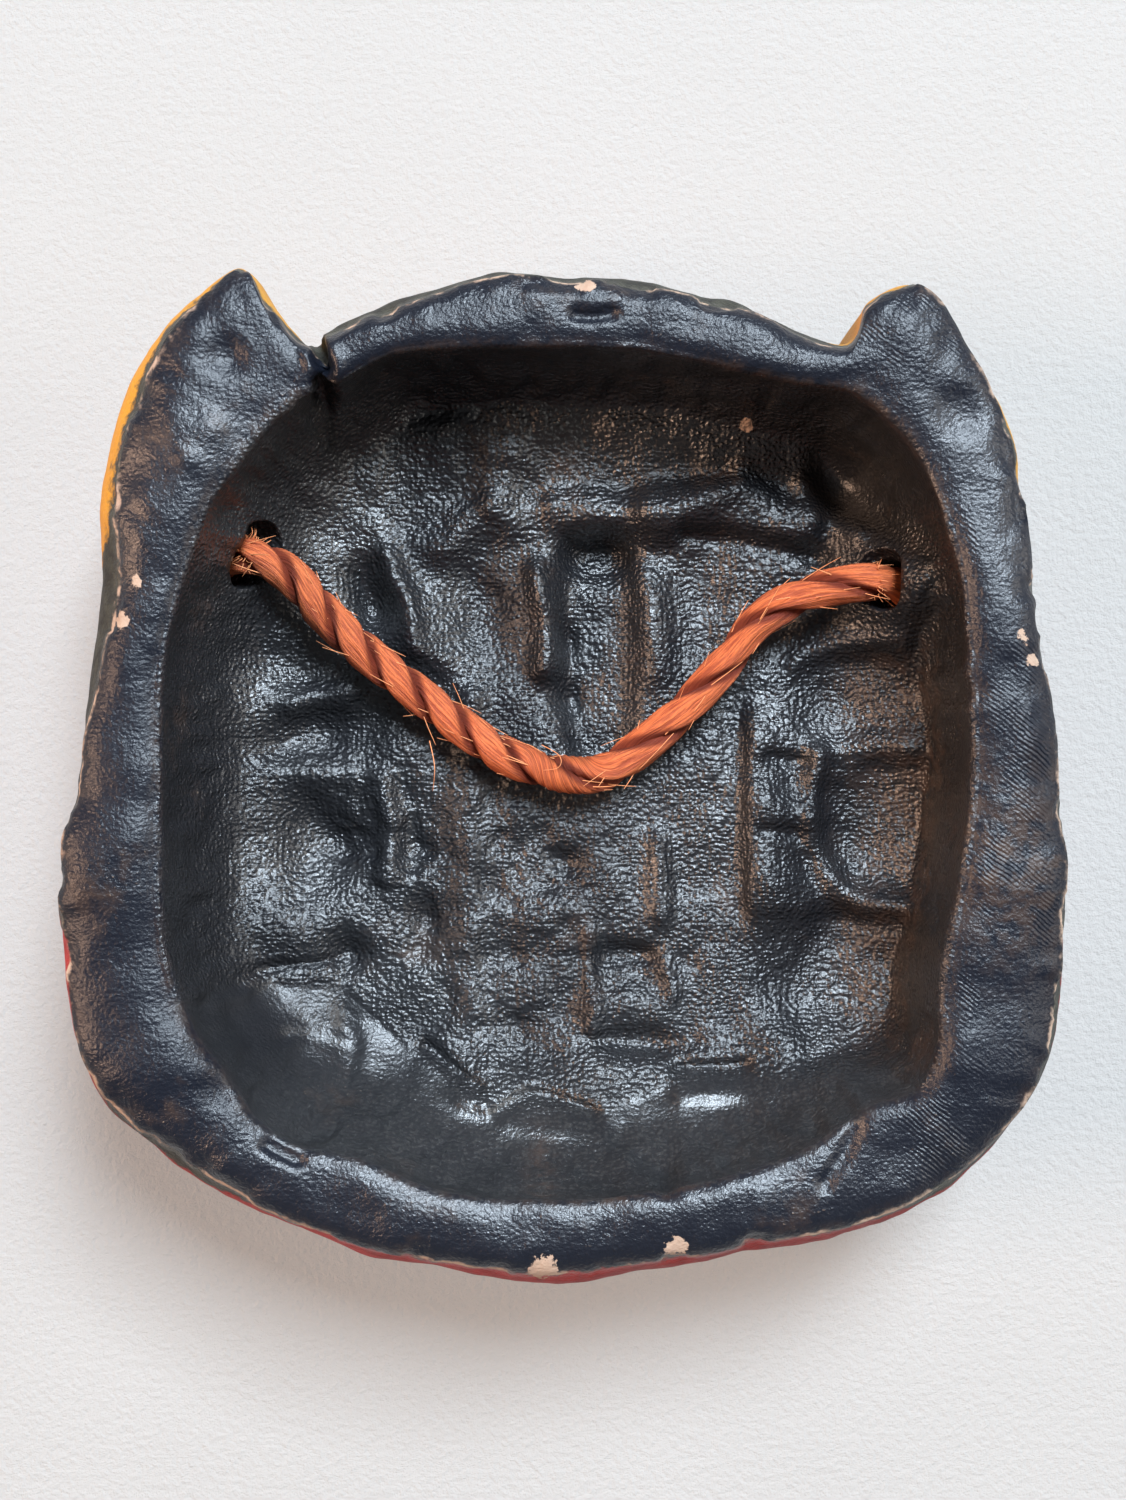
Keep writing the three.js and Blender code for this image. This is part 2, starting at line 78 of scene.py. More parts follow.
# Each cord hole: its bore, the half sizes of the scoop at its mouth, and how far in the scoop sits
HOLE_RADIUS = 3.7
SCOOP_SIZE = (6.8, 5.0, 5.4)
SCOOP_SHIFT = {"left": 0.6, "right": 3.4}

# How finely the clay body is meshed: cells along a side of its floor, and rows across each band
CELLS = 180
WALL_ROWS, LIP_ROWS, BAND_ROWS, FLANK_ROWS = 18, 14, 5, 7

# The camera looks straight down, from this far above the back's lip
CAMERA_RISE = 260.0
CAMERA_PLACE = (0.3, 3.45)
VIEW_HEIGHT = 202.5
SENSOR = 36.0


# Camera


def add_camera():
    data = bpy.data.cameras.new("camera")
    data.sensor_width = SENSOR
    data.lens = SENSOR * CAMERA_RISE / VIEW_HEIGHT
    data.clip_start = 0.01
    camera = bpy.data.objects.new("camera", data)
    camera.location = (CAMERA_PLACE[0] * MM, CAMERA_PLACE[1] * MM, (DEPTH + CAMERA_RISE) * MM)
    bpy.context.collection.objects.link(camera)
    bpy.context.scene.camera = camera


# Helpers for numbers


def noise(points, width, seed=0):
    """Smooth noise from -1 to 1 at points (n, 3), with lumps about `width` mm wide."""
    spot = points / width + 17.3 * seed
    cell = np.floor(spot).astype(np.int64)
    part = spot - cell
    part = part * part * (3 - 2 * part)
    total = np.zeros(len(points))
    for corner in itertools.product((0, 1), repeat=3):
        at = cell + np.array(corner)
        mixed = (at[:, 0] * 73856093) ^ (at[:, 1] * 19349663) ^ (at[:, 2] * 83492791)
        mixed = (mixed ^ (mixed >> 13)) * 1274126177 & 0xFFFFFFFF
        mixed = (mixed ^ (mixed >> 16)) & 0xFFFF
        share = np.prod(np.where(np.array(corner) == 1, part, 1 - part), axis=1)
        total += share * (mixed / 32767.5 - 1)
    return total


def uneven(points, table):
    """Lumps of several sizes: height, width and seed of each."""
    return sum(height * noise(points, width, seed) for height, width, seed in table)


def smooth(value, start, end):
    share = np.clip((value - start) / (end - start), 0, 1)
    return share * share * (3 - 2 * share)


def peak(away, width):
    """1 where `away` is 0, gone at about twice the width to both sides."""
    return np.exp(-((away / width) ** 2))


def unit(vector):
    return vector / np.linalg.norm(vector)


def square_to(way, vector):
    return unit(vector - way * np.dot(vector, way))


def around(table, place):
    """Columns of a closed table at places round the outline, from 0 to 4, by a smooth curve."""
    rows = np.array(table, dtype=float)
    keys = np.concatenate([[rows[-1, 0] - 4], rows[:, 0], rows[:2, 0] + 4])
    values = np.concatenate([rows[-1:, 1:], rows[:, 1:], rows[:2, 1:]])
    slopes = np.zeros_like(values)
    slopes[1:-1] = (values[2:] - values[:-2]) / (keys[2:] - keys[:-2])[:, None]
    slopes[0] = slopes[len(rows)]
    place = np.mod(place, 4)
    at = np.clip(np.searchsorted(keys, place, side="right") - 1, 0, len(keys) - 3)
    span = (keys[at + 1] - keys[at])[:, None]
    share = (place - keys[at])[:, None] / span
    rest = 1 - share
    return (
        values[at] * (1 + 2 * share) * rest**2
        + values[at + 1] * share**2 * (3 - 2 * share)
        + slopes[at] * span * share * rest**2
        - slopes[at + 1] * span * share**2 * rest
    )


# The outline: place round the mask in sides from the left horn, then the outer edge and the mouth of
# the hollow, as shares of half the width and half the height
STATIONS = [
    (0, -0.642, 1, -0.63, 0.86),
    (0.06, -0.580, 0.927, -0.60, 0.88),
    (0.11, -0.506, 0.840, -0.57, 0.89),
    (0.16, -0.442, 0.884, -0.52, 0.91),
    (0.25, -0.322, 0.931, -0.41, 0.96),
    (0.40, -0.132, 0.987, -0.20, 0.98),
    (0.50, -0.002, 0.985, 0, 0.98),
    (0.62, 0.158, 0.972, 0.19, 0.97),
    (0.75, 0.349, 0.925, 0.42, 0.93),
    (0.85, 0.489, 0.868, 0.57, 0.90),
    (0.89, 0.575, 0.850, 0.65, 0.89),
    (0.94, 0.619, 0.930, 0.69, 0.88),
    (1, 0.711, 0.960, 0.73, 0.86),
    (1.08, 0.801, 0.860, 0.78, 0.82),
    (1.20, 0.901, 0.666, 0.86, 0.73),
    (1.30, 0.931, 0.490, 0.93, 0.57),
    (1.40, 0.945, 0.323, 0.97, 0.40),
    (1.51, 0.977, 0.116, 0.99, 0.15),
    (1.63, 0.997, -0.086, 0.98, -0.09),
    (1.75, 1, -0.294, 0.94, -0.32),
    (1.83, 0.996, -0.441, 0.91, -0.49),
    (1.91, 0.959, -0.588, 0.91, -0.62),
    (2, 0.879, -0.721, 0.85, -0.72),
    (2.07, 0.789, -0.801, 0.74, -0.76),
    (2.17, 0.615, -0.888, 0.58, -0.86),
    (2.30, 0.379, -0.944, 0.40, -0.92),
    (2.42, 0.156, -0.980, 0.17, -0.96),
    (2.53, -0.054, -1, -0.06, -0.97),
    (2.64, -0.242, -0.976, -0.29, -0.95),
    (2.75, -0.432, -0.935, -0.48, -0.88),
    (2.85, -0.606, -0.868, -0.63, -0.85),
    (2.93, -0.742, -0.790, -0.74, -0.78),
    (3, -0.842, -0.717, -0.80, -0.69),
    (3.05, -0.916, -0.650, -0.86, -0.62),
    (3.12, -0.974, -0.535, -0.90, -0.55),
    (3.22, -1, -0.353, -0.95, -0.38),
    (3.33, -0.992, -0.137, -0.96, -0.17),
    (3.43, -0.970, 0.033, -0.96, 0.03),
    (3.52, -0.940, 0.196, -0.96, 0.22),
    (3.61, -0.916, 0.362, -0.92, 0.41),
    (3.70, -0.920, 0.539, -0.85, 0.61),
    (3.80, -0.892, 0.719, -0.76, 0.73),
    (3.89, -0.814, 0.856, -0.69, 0.81),
    (3.95, -0.726, 0.946, -0.65, 0.84),
]
BAND_WIDTH = [
    (0.0, 1.6), (0.3, 1.8), (0.9, 1.4), (1.1, 0.9), (1.8, 0.9), (2.1, 2.2), (2.6, 2.6), (3.05, 2.2),
    (3.33, 0.9), (3.52, 1.8), (3.7, 3.7), (3.9, 3.2),
]
WALL_RUN = [
    (0.0, 9), (0.3, 5), (0.7, 4.5), (1.0, 5), (1.2, 5.5), (1.35, 5), (1.55, 2), (1.8, 2), (2.0, 4.5),
    (2.3, 6), (2.6, 7), (2.9, 10), (3.1, 9), (3.4, 8), (3.65, 11), (3.85, 12),
]
CROWN_RISE = [
    (0.0, -0.4), (0.12, -1.2), (0.3, -0.3), (0.55, 0), (0.85, -0.8), (1.0, -0.2), (1.35, -0.7),
    (1.75, 0), (2.15, -0.5), (2.5, 0), (2.85, -0.6), (3.25, 0), (3.6, -0.7), (3.85, -0.2),
]


def outer_point(place):
    return around(STATIONS, place)[:, 0:2] * (HALF_WIDTH, HALF_HEIGHT)


def mouth_point(place):
    return around(STATIONS, place)[:, 2:4] * (HALF_WIDTH - SIDE_LIP, HALF_HEIGHT - END_LIP)


def inward(points, distance):
    return points * (1 - distance / np.linalg.norm(points, axis=1))[:, None]


# Hand-pressed lumps of the clay: height, width and seed of each
BODY_LUMPS = [(0.30, 7.0, 41), (0.13, 2.4, 42)]
FLOOR_LUMPS = [(0.80, 9.0, 5), (0.38, 3.6, 6)]
LIP_LUMPS = [(0.75, 13.0, 47), (0.22, 4.6, 43), (0.06, 1.7, 44)]
EDGE_LUMPS = [(4 / 7, 5.0, 46), (2 / 7, 5.0 / 2.1, 47), (1 / 7, 5.0 / 2.1**2, 48)]


# Relief: each form takes x and y and gives a share of its height


def bell(cx, cy, reach_x, reach_y, turn=0.0, power=1.0):
    def form(x, y):
        cos, sin = math.cos(turn), math.sin(turn)
        along = ((x - cx) * cos + (y - cy) * sin) / reach_x
        across = ((y - cy) * cos - (x - cx) * sin) / reach_y
        return np.exp(-((along**2 + across**2) ** power))

    return form


def mound(cx, cy, radius_x, radius_y=None):
    def form(x, y):
        away = np.hypot((x - cx) / radius_x, (y - cy) / (radius_y or radius_x))
        return np.cos(np.minimum(away, 1) * math.pi / 2)

    return form


def distance_to(x, y, points):
    nearest = np.full(x.shape, 1e9)
    for (ax, ay), (bx, by) in zip(points, points[1:]):
        dx, dy = bx - ax, by - ay
        share = np.clip(((x - ax) * dx + (y - ay) * dy) / (dx * dx + dy * dy), 0, 1)
        nearest = np.minimum(nearest, np.hypot(x - ax - share * dx, y - ay - share * dy))
    return nearest


def ridge(width, *points, power=1.0):
    return lambda x, y: np.exp(-((distance_to(x, y, points) / width) ** 2) ** power)


def relief(forms, x, y):
    return sum(height * form(x, y) for height, form in forms)


BACK_FORMS = [
    (-4.2, bell(-29, 26.5, 3, 5.2, 0.25, 1.2)),
    (1.9, ridge(2, (-25.8, 33), (-24, 27), (-21.5, 19))),
    (-2, bell(-11.5, 24, 4.2, 9, 0, 1.2)),
    (2, ridge(3.2, (-8, 46), (-11, 40), (-17, 33.5))),
    (-1.6, bell(-21, 54, 5, 3)),
    (2.4, ridge(2.6, (-1, 40), (11, 38.8), (19, 39.5), (26, 43))),
    (-3.4, ridge(5.6, (5.6, 31), (5.6, 6), power=3)),
    (-3, bell(5.6, 33, 5.2, 4, 0, 1.8)),
    (3.2, ridge(1.7, (-3.6, 30), (-2, 23), (-2.4, 16))),
    (-3, bell(0.3, 19.5, 1.6, 3.2)),
    (-1.8, bell(1, 11.5, 2.6, 3)),
    (1.5, ridge(2.2, (13.3, 29), (14.6, 15))),
    (-1.2, bell(20, 24, 5, 6.5, 0, 1.4)),
    (3.4, ridge(4.6, (15, 39), (25, 38.6), (34, 36.6), power=2)),
    (-2.6, ridge(1.5, (19, 35.5), (28, 34.4), (38.5, 32))),
    (12.5, bell(50.5, 28, 6.6, 7)),
    (9.5, bell(-49.5, 32.5, 6.6, 6)),
    (-4, bell(43, 45, 8.5, 7.5, 0, 1.3)),
    (2.2, ridge(2, (35.8, 43), (38.5, 38), (43.5, 35.4))),
    (-2.6, bell(46.5, 11, 9.5, 6.4, 0, 1.6)),
    (1.2, ridge(1.8, (35, 16.5), (42, 20), (50, 19))),
    (-4.6, bell(49, -8, 10, 9.8, 0, 1.9)),
    (-4.2, bell(46, -31, 11.5, 12, 0.35, 1.8)),
    (2.2, ridge(1.7, (38.6, 3), (37.4, -9), (41, -17), (45.5, -20), (52, -20))),
    (-1.2, ridge(1, (31, 2.5), (37, 2))),
    (-1, ridge(1, (30, -8.5), (36, -9.5))),
    (2, ridge(2, (-40, 9.6), (-34, 12), (-28.6, 14.6))),
    (-2.4, bell(-37, 5, 9, 4, 0.15, 1.1)),
    (1.6, bell(-39, 0, 8, 3)),
    (-3.4, bell(-34.6, -9.4, 8.2, 6, 0.1, 1.3)),
    (1.8, ridge(1.6, (-27, -1), (-25, -8), (-25.8, -15))),
    (-3, bell(-20.8, -10.5, 2.4, 3.4)),
    (-3.2, bell(-20.2, -21.5, 2.2, 4)),
    (1.8, bell(-20.6, -16.2, 2.8, 2)),
    (-3.4, bell(-31.6, -26.4, 3, 2.6, 0, 1.2)),
    (-1.1, ridge(0.8, (-34, -28), (-45.5, -29.4))),
    (1.6, bell(-42, -24, 6, 3.4)),
    (1.4, ridge(2.4, (-13.2, 10), (-13.8, -14), (-13.6, -36))),
    (-1.8, bell(0.8, -13.6, 3.4, 2.4, 0, 1.2)),
    (1.3, bell(-1.8, -20.6, 6, 2.4, 0, 1.2)),
    (-0.5, ridge(0.35, (-1.6, -16.8), (5, -17.4))),
    (1.7, ridge(1.8, (14.2, -10.5), (14.9, -20.6))),
    (-2.6, bell(10.2, -27.6, 5.4, 1.9, 0, 1.3)),
    (1.5, bell(9.6, -33.8, 5.6, 2.2)),
    (-2.4, bell(12, -40.2, 6.8, 2, 0, 1.3)),
    (1.4, ridge(1.3, (4.6, -24), (4.8, -38))),
    (1.2, ridge(1.3, (15.5, -27.6), (16.6, -33))),
    (-1.9, ridge(1, (-20.2, -41.2), (-13, -46))),
    (-1.7, ridge(0.9, (-9.6, -49.2), (-4, -47.2), (5, -49.4))),
    (1.2, ridge(1.8, (-14, -47.6), (-4, -51.6), (6, -52.4))),
    (-1.8, ridge(1, (17.4, -43.6), (27.2, -43.8))),
    (1.4, ridge(1.6, (18, -47), (30, -46.8), (35.8, -44.8))),
    (-0.9, ridge(1.6, (-31.6, -38), (-31.4, -54))),
]
CHIN_RISE = 9.0
BOWL_RISE = 4.0

# Patches of the hollow that lean one way: middle, reach, then how steeply each rises with x and with y
LEANS = [
    (-19, 25, 7.5, 8.5, -0.14, -0.22),
    (-7.8, 41.5, 3.4, 4.6, -0.10, -0.45),
    (-43, 13, 6.5, 6.5, -0.05, -0.36),
    (25, 38.6, 10.5, 6, -0.07, -0.22),
    (34, -3.5, 5.4, 5, -0.15, -0.34),
    (34, -14, 5.4, 5.4, -0.15, -0.34),
    (33, -36, 4.4, 6, -0.10, -0.34),
    (11, -34, 5.6, 3.6, 0, -0.45),
    (-20, -18, 3.2, 2.8, 0, -0.45),
    (-5, -52.5, 12, 3.6, 0, -0.30),
    (24, -48.5, 9, 3.4, 0, -0.30),
    (-38, -18, 7, 5, -0.10, -0.30),
    (-7, -30, 5, 5, 0.10, -0.25),
    (-27.7, 26, 2.8, 4.4, 0.20, 0.50),
    (-19, 16, 3.6, 2.8, 0.20, 0.45),
    (5.5, 36, 5.4, 2.4, 0, 0.80),
    (-31, -8.7, 4.4, 4.8, 0.15, 0.40),
    (-31.7, -27.6, 2.8, 3.2, 0.20, 0.55),
    (-21, -11.5, 2.6, 3.6, 0.20, 0.50),
    (-21, -25, 2.2, 3.2, 0.20, 0.50),
    (12, -40.5, 6.4, 1.8, 0, 0.60),
    (23, -43.3, 5, 1.5, 0, 0.60),
    (48, 2, 7, 2.6, 0, 0.55),
    (45, -20.8, 8, 2.4, 0, 0.50),
    (44, 18, 7, 2.4, 0, 0.45),
]

# A raised strip of the floor at the right, and the arcs that fingers dragged at the lower left
STRIP_LEFT, STRIP_RIGHT = 27.4, 41.0
STRIP_TOP, STRIP_BOTTOM = 13.0, -26.0
STRIP_RISE = 2.8
DRAG_CENTRE = (-47.0, -79.0)
DRAG_PITCH = 2.3
DRAG_DEPTH = 0.16

# The chin end of the hollow is smooth: the cloth's print stops at this line
CHIN_LINE = [
    (-60, -30), (-33, -31), (-20, -43), (-11, -48.5), (5, -48.8), (20, -44.6), (36, -44), (60, -40),
]

FACE_AXIS = 3.0


def both(make, axis=FACE_AXIS):
    """A form at the left of the axis and its mirror image at the right."""
    return [make(lambda x, side=side: axis + side * x) for side in (-1, 1)]


NOSE = [
    (7.5, ridge(4.8, (FACE_AXIS, 29), (FACE_AXIS, 9))),
    (8.0, mound(FACE_AXIS, 3.5, 12, 10.5)),
    *both(lambda x: (6.5, mound(x(11), 1.5, 8.5, 7.5))),
    *both(lambda x: (-3.0, bell(x(7), -5.0, 2.2, 1.8))),
]
BROWS = [
    *both(lambda x: (8.4, ridge(5.4, (x(8), 27.5), (x(16), 34), (x(27), 38.5), (x(38), 35)))),
    *both(lambda x: (5.4, mound(x(18), 37, 13, 11))),
]
EYES = [
    *both(lambda x: (8.5, mound(x(22), 18, 12.5, 10))),
    *both(lambda x: (-1.6, ridge(0.9, (x(12), 15), (x(17), 22), (x(25), 23.5), (x(32), 18)))),
    *both(lambda x: (-1.4, ridge(0.9, (x(13), 14), (x(20), 11), (x(28), 12), (x(32), 17)))),
]
CHEEKS = [
    *both(lambda x: (5.0, bell(x(30), -3, 8, 7))),
    *both(lambda x: (4.0, ridge(4.2, (x(16), -5), (x(25), -12), (x(29), -24)))),
]
UPPER_LIP = [(-20, -21), (-12, -14), (-4, -12.5), (3, -14), (10, -12.5), (18, -14), (26, -21)]
LOWER_LIP = [(-19, -28), (-10, -35.5), (3, -37.5), (16, -35.5), (25, -28)]
MOUTH = [
    (5.0, ridge(4.2, *UPPER_LIP)),
    (6.0, ridge(4.2, *LOWER_LIP)),
    (-3.0, mound(FACE_AXIS, -24.5, 24, 12)),
    *both(lambda x: (4.5, ridge(2.6, (x(15), -17), (x(13.5), -27)))),
    *both(lambda x: (4.0, ridge(2.4, (x(8), -34), (x(8), -26)))),
]
CHIN = [(14.5, mound(FACE_AXIS, -50, 18, 14))]
CURL_SPOTS = [(47, 11, 12), (48, -11, 12), (44, -33, 12.5), (27, -50, 11.5)]
CURLS = [(7.0, mound(side * x, y, radius)) for x, y, radius in CURL_SPOTS for side in (-1, 1)]
HORNS = both(lambda x: (8.0, ridge(7.5, (x(30), 49), (x(37), 56), (x(45), 66))), 0)
HAIR = [
    *both(lambda x: (4.0, ridge(4.0, (x(5), 62), (x(7), 52), (x(13), 48))), 0),
    *both(lambda x: (4.0, ridge(4.0, (x(17), 61), (x(19), 53), (x(25), 48))), 0),
]
FACE_FORMS = NOSE + BROWS + EYES + CHEEKS + MOUTH + CHIN + CURLS + HORNS + HAIR


def curl_groove(x, y):
    """Spiral grooves that turn each mound of the beard into a curl."""
    depth = np.zeros_like(x)
    for cx, cy, radius in CURL_SPOTS:
        for side in (-1, 1):
            dx, dy = side * (x - side * cx), y - cy
            away = np.hypot(dx, dy)
            wave = np.cos(math.tau * away / 4.4 - np.arctan2(dy, dx))
            depth += 0.9 * smooth(wave, 0.2, 1) * smooth(radius * 0.92 - away, 0, 2)
    return depth


def leaning(x, y):
    total = np.zeros_like(x)
    for cx, cy, reach_x, reach_y, slope_x, slope_y in LEANS:
        near = np.exp(-((((x - cx) / reach_x) ** 2 + ((y - cy) / reach_y) ** 2) ** 1.5))
        total += (slope_x * (x - cx) + slope_y * (y - cy)) * near
    return total


def floor_height(x, y, fine=True):
    to_edge = ((x / 52) ** 4 + (y / 54) ** 4) ** 0.25
    chin = CHIN_RISE * smooth(-y, 36, 60) + BOWL_RISE * smooth(to_edge, 0.72, 1.05)
    if not fine:
        return FLOOR_HEIGHT + chin + relief(BACK_FORMS, x, y)
    spots = np.stack([x, y, np.zeros_like(x)], axis=1)
    warped_x = x + 0.7 * noise(spots, 6.0, 3)
    warped_y = y + 0.7 * noise(spots, 6.0, 4)
    lumps = uneven(spots, FLOOR_LUMPS)
    step = STRIP_RISE * smooth(warped_x, STRIP_LEFT - 0.9, STRIP_LEFT + 0.9)
    step *= smooth(STRIP_RIGHT - x, 0, 11)
    step *= smooth(STRIP_TOP - warped_y, 0, 8) * smooth(warped_y - STRIP_BOTTOM, 0, 7)
    away = np.hypot(x - DRAG_CENTRE[0], y - DRAG_CENTRE[1])
    drags = DRAG_DEPTH * np.sin(math.tau * away / DRAG_PITCH + 2 * noise(spots, 8.0, 7))
    drags *= smooth(-29 - x, 0, 3) * smooth(-34 - y, 0, 4)
    forms = relief(BACK_FORMS, warped_x, warped_y) + leaning(warped_x, warped_y)
    return FLOOR_HEIGHT + chin + forms + lumps + step + drags


def face_height(x, y, ring):
    dome = FACE_HEIGHT + (FACE_EDGE_HEIGHT - FACE_HEIGHT) * ring**3
    fade = 1 - smooth(ring, 0.9, 1.02)
    carved = dome - (relief(FACE_FORMS, x, y) - curl_groove(x, y)) * fade
    thinnest = floor_height(x, y, fine=False) - MIN_WALL
    share = np.clip(0.5 + (thinnest - carved) / (2 * WALL_BLEND), 0, 1)
    eased = thinnest + (carved - thinnest) * share - WALL_BLEND * share * (1 - share)
    return np.maximum(eased, 0.0)


# Rows of the clay body round the mask, from the cavity floor out to the face


def crown(place):
    return DEPTH + around(CROWN_RISE, place)[:, 0]


def raised(points, height):
    return np.column_stack([points, height])


def wall_row(place, share):
    """From the floor (0) to the mouth (1)."""
    mouth = mouth_point(place)
    run = around(WALL_RUN, place)[:, 0]
    turn = (1 - share) * math.pi / 2
    points = inward(mouth, run * (1 - math.cos(turn)))
    top = crown(place) - LIP_INNER_DROP
    bottom = floor_height(*points.T)
    return raised(points, top + (bottom - top) * math.sin(turn))


def lip_row(place, share):
    """From the mouth (0) over the crown to the chipped edge (1)."""
    outer = inward(outer_point(place), around(BAND_WIDTH, place)[:, 0])
    mouth = mouth_point(place)
    points = mouth + (outer - mouth) * share
    drop = LIP_INNER_DROP if share < 0.5 else LIP_OUTER_DROP
    return raised(points, crown(place) - drop * abs(2 * share - 1) ** 3.0)


def band_row(place, share):
    """From the chipped edge (0) to the widest outline (1)."""
    outer = outer_point(place)
    edge = inward(outer, around(BAND_WIDTH, place)[:, 0])
    points = edge + (outer - edge) * math.sin(share * math.pi / 2)
    return raised(points, crown(place) - LIP_OUTER_DROP - BAND_DROP * share)


def flank_row(place, share):
    """From the widest outline (0) to the edge of the face (1)."""
    outer = outer_point(place)
    points = inward(outer, FACE_INSET * share**1.9)
    foot = inward(outer, FACE_INSET)
    top = crown(place) - LIP_OUTER_DROP - BAND_DROP
    edge = face_height(*foot.T, np.ones(len(foot)))
    return raised(points, top + (edge - top) * share**0.9)


def grid_points(edge, height):
    """A square grid drawn out to a round outline, as points in rows."""
    line = np.linspace(-1, 1, CELLS + 1)
    u, v = np.meshgrid(line, -line)
    u, v = u.ravel(), v.ravel()
    ring = np.maximum(abs(u), abs(v))
    safe = np.maximum(ring, 1e-9)
    a, b = u / safe, v / safe
    place = np.where(
        b >= 1 - 1e-9, (a + 1) / 2,
        np.where(
            a >= 1 - 1e-9, 1 + (1 - b) / 2,
            np.where(b <= -1 + 1e-9, 2 + (1 - a) / 2, 3 + (b + 1) / 2),
        ),
    )
    points = edge(place) * ring[:, None]
    return raised(points, height(*points.T, ring))


def grid_rim(first):
    """Ids of a grid's edge, from the left horn clockwise."""
    step = np.arange(CELLS)
    width = CELLS + 1
    top = first + step
    right = first + CELLS + step * width
    bottom = first + CELLS * width + CELLS - step
    left = first + (CELLS - step) * width
    return np.concatenate([top, right, bottom, left])


def grid_faces(first, upward):
    width = CELLS + 1
    row, column = np.mgrid[0:CELLS, 0:CELLS]
    corner = first + (row * width + column).ravel()
    corners = [corner, corner + width, corner + width + 1, corner + 1]
    return np.stack(corners if upward else corners[::-1], axis=1)


def clay_shape():
    """Points, faces and the share of each point on its way from floor (0) to face (5)."""
    place = np.arange(4 * CELLS) / CELLS
    floor = grid_points(
        lambda at: inward(mouth_point(at), around(WALL_RUN, at)[:, 0]),
        lambda x, y, ring: floor_height(x, y),
    )
    face = grid_points(lambda at: inward(outer_point(at), FACE_INSET), face_height)
    points, stages = [floor, face], [np.zeros(len(floor)), np.full(len(face), 5.0)]
    faces = [grid_faces(0, True), grid_faces(len(floor), False)]
    rims = [grid_rim(0)]
    count = len(floor) + len(face)
    sections = [(WALL_ROWS, wall_row), (LIP_ROWS, lip_row), (BAND_ROWS, band_row), (FLANK_ROWS, flank_row)]
    rings = [
        (row_at(place, row / rows), stage + row / rows)
        for stage, (rows, row_at) in enumerate(sections)
        for row in range(1, rows + 1)
    ][:-1]
    for ring_points, stage in rings:
        points.append(ring_points)
        stages.append(np.full(len(place), stage))
        rims.append(count + np.arange(len(place)))
        count += len(place)
    rims.append(grid_rim(len(floor)))
    for inner, outer in zip(rims, rims[1:]):
        faces.append(np.stack([inner, np.roll(inner, -1), np.roll(outer, -1), outer], axis=1))
    return np.concatenate(points), np.concatenate(faces), np.concatenate(stages)


def normals_of(points, faces):
    across = points[faces[:, 2]] - points[faces[:, 0]]
    along = points[faces[:, 3]] - points[faces[:, 1]]
    each = np.cross(across, along)
    total = np.zeros_like(points)
    for corner in range(4):
        np.add.at(total, faces[:, corner], each)
    return total / np.maximum(np.linalg.norm(total, axis=1), 1e-9)[:, None]


# Cord route, the same chosen points as the solid's: x, y and lift of the cord off the floor
ROUTE = [
    (-46.3, 31.8, 5.3),
    (-40, 29.3, 5.9),
    (-34.3, 23.2, 4.9),
    (-28.2, 17.4, 3.9),
    (-19.2, 10.4, 3.1),
    (-10.8, 4.2, 2.8),
    (-5.1, 1.3, 2.5),
    (1.6, -0.2, 2.3),
    (7, 0.6, 2.3),
    (14.5, 6.1, 2.5),
    (20.1, 11.5, 2.9),
    (24.7, 16.8, 3.5),
    (28.4, 21.8, 4.3),
    (33.5, 25.3, 5.1),
    (40, 27.2, 5.9),
    (46.8, 27.8, 5.3),
]
INNER_ROUTE = np.array([(x, y, FLOOR_HEIGHT + ROPE_DIAMETER / 2 + lift) for x, y, lift in ROUTE])


def knot_spots():
    """Centre of each knot, from its solid."""
    spots = {}
    for side in ("left", "right"):
        lowest, highest = (np.array(corner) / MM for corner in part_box(f"rope_knot_{side}"))
        spots[side] = (lowest + highest) / 2
    return spots


KNOTS = knot_spots()


def curved(route, steps):
    """A smooth line through a few points, with `steps` points to each stretch."""
    line = []
    for i in range(len(route) - 1):
        before, start, end = route[max(i - 1, 0)], route[i], route[i + 1]
        after = route[min(i + 2, len(route) - 1)]
        for step in range(steps):
            t = step / steps
            line.append(
                0.5 * (2 * start + (end - before) * t + (2 * before - 5 * start + 4 * end - after) * t**2
                       + (3 * start - before - 3 * end + after) * t**3)
            )
    return np.array([*line, route[-1]])


def cord_line():
    """Close points along the cord's middle, from knot to knot."""
    halfway = [(KNOTS["left"] + INNER_ROUTE[0]) / 2, (KNOTS["right"] + INNER_ROUTE[-1]) / 2]
    return curved(np.vstack([KNOTS["left"], halfway[0], INNER_ROUTE, halfway[1], KNOTS["right"]]), 24)


def even_line(line, gap):
    """The same line with points every `gap` mm."""
    lengths = np.concatenate([[0], np.cumsum(np.linalg.norm(np.diff(line, axis=0), axis=1))])
    count = int(lengths[-1] / gap) + 1
    at = np.linspace(0, lengths[-1], count)
    return np.column_stack([np.interp(at, lengths, line[:, axis]) for axis in range(3)]), at


def frames_along(line):
    """Two directions square to the line at each point, turning as little as they can."""
    ahead = np.gradient(line, axis=0)
    ahead /= np.linalg.norm(ahead, axis=1)[:, None]
    side = np.zeros_like(line)
    side[0] = unit(np.cross(ahead[0], (0, 0, 1)))
    for i in range(1, len(line)):
        side[i] = square_to(ahead[i], side[i - 1])
    return side, np.cross(ahead, side)


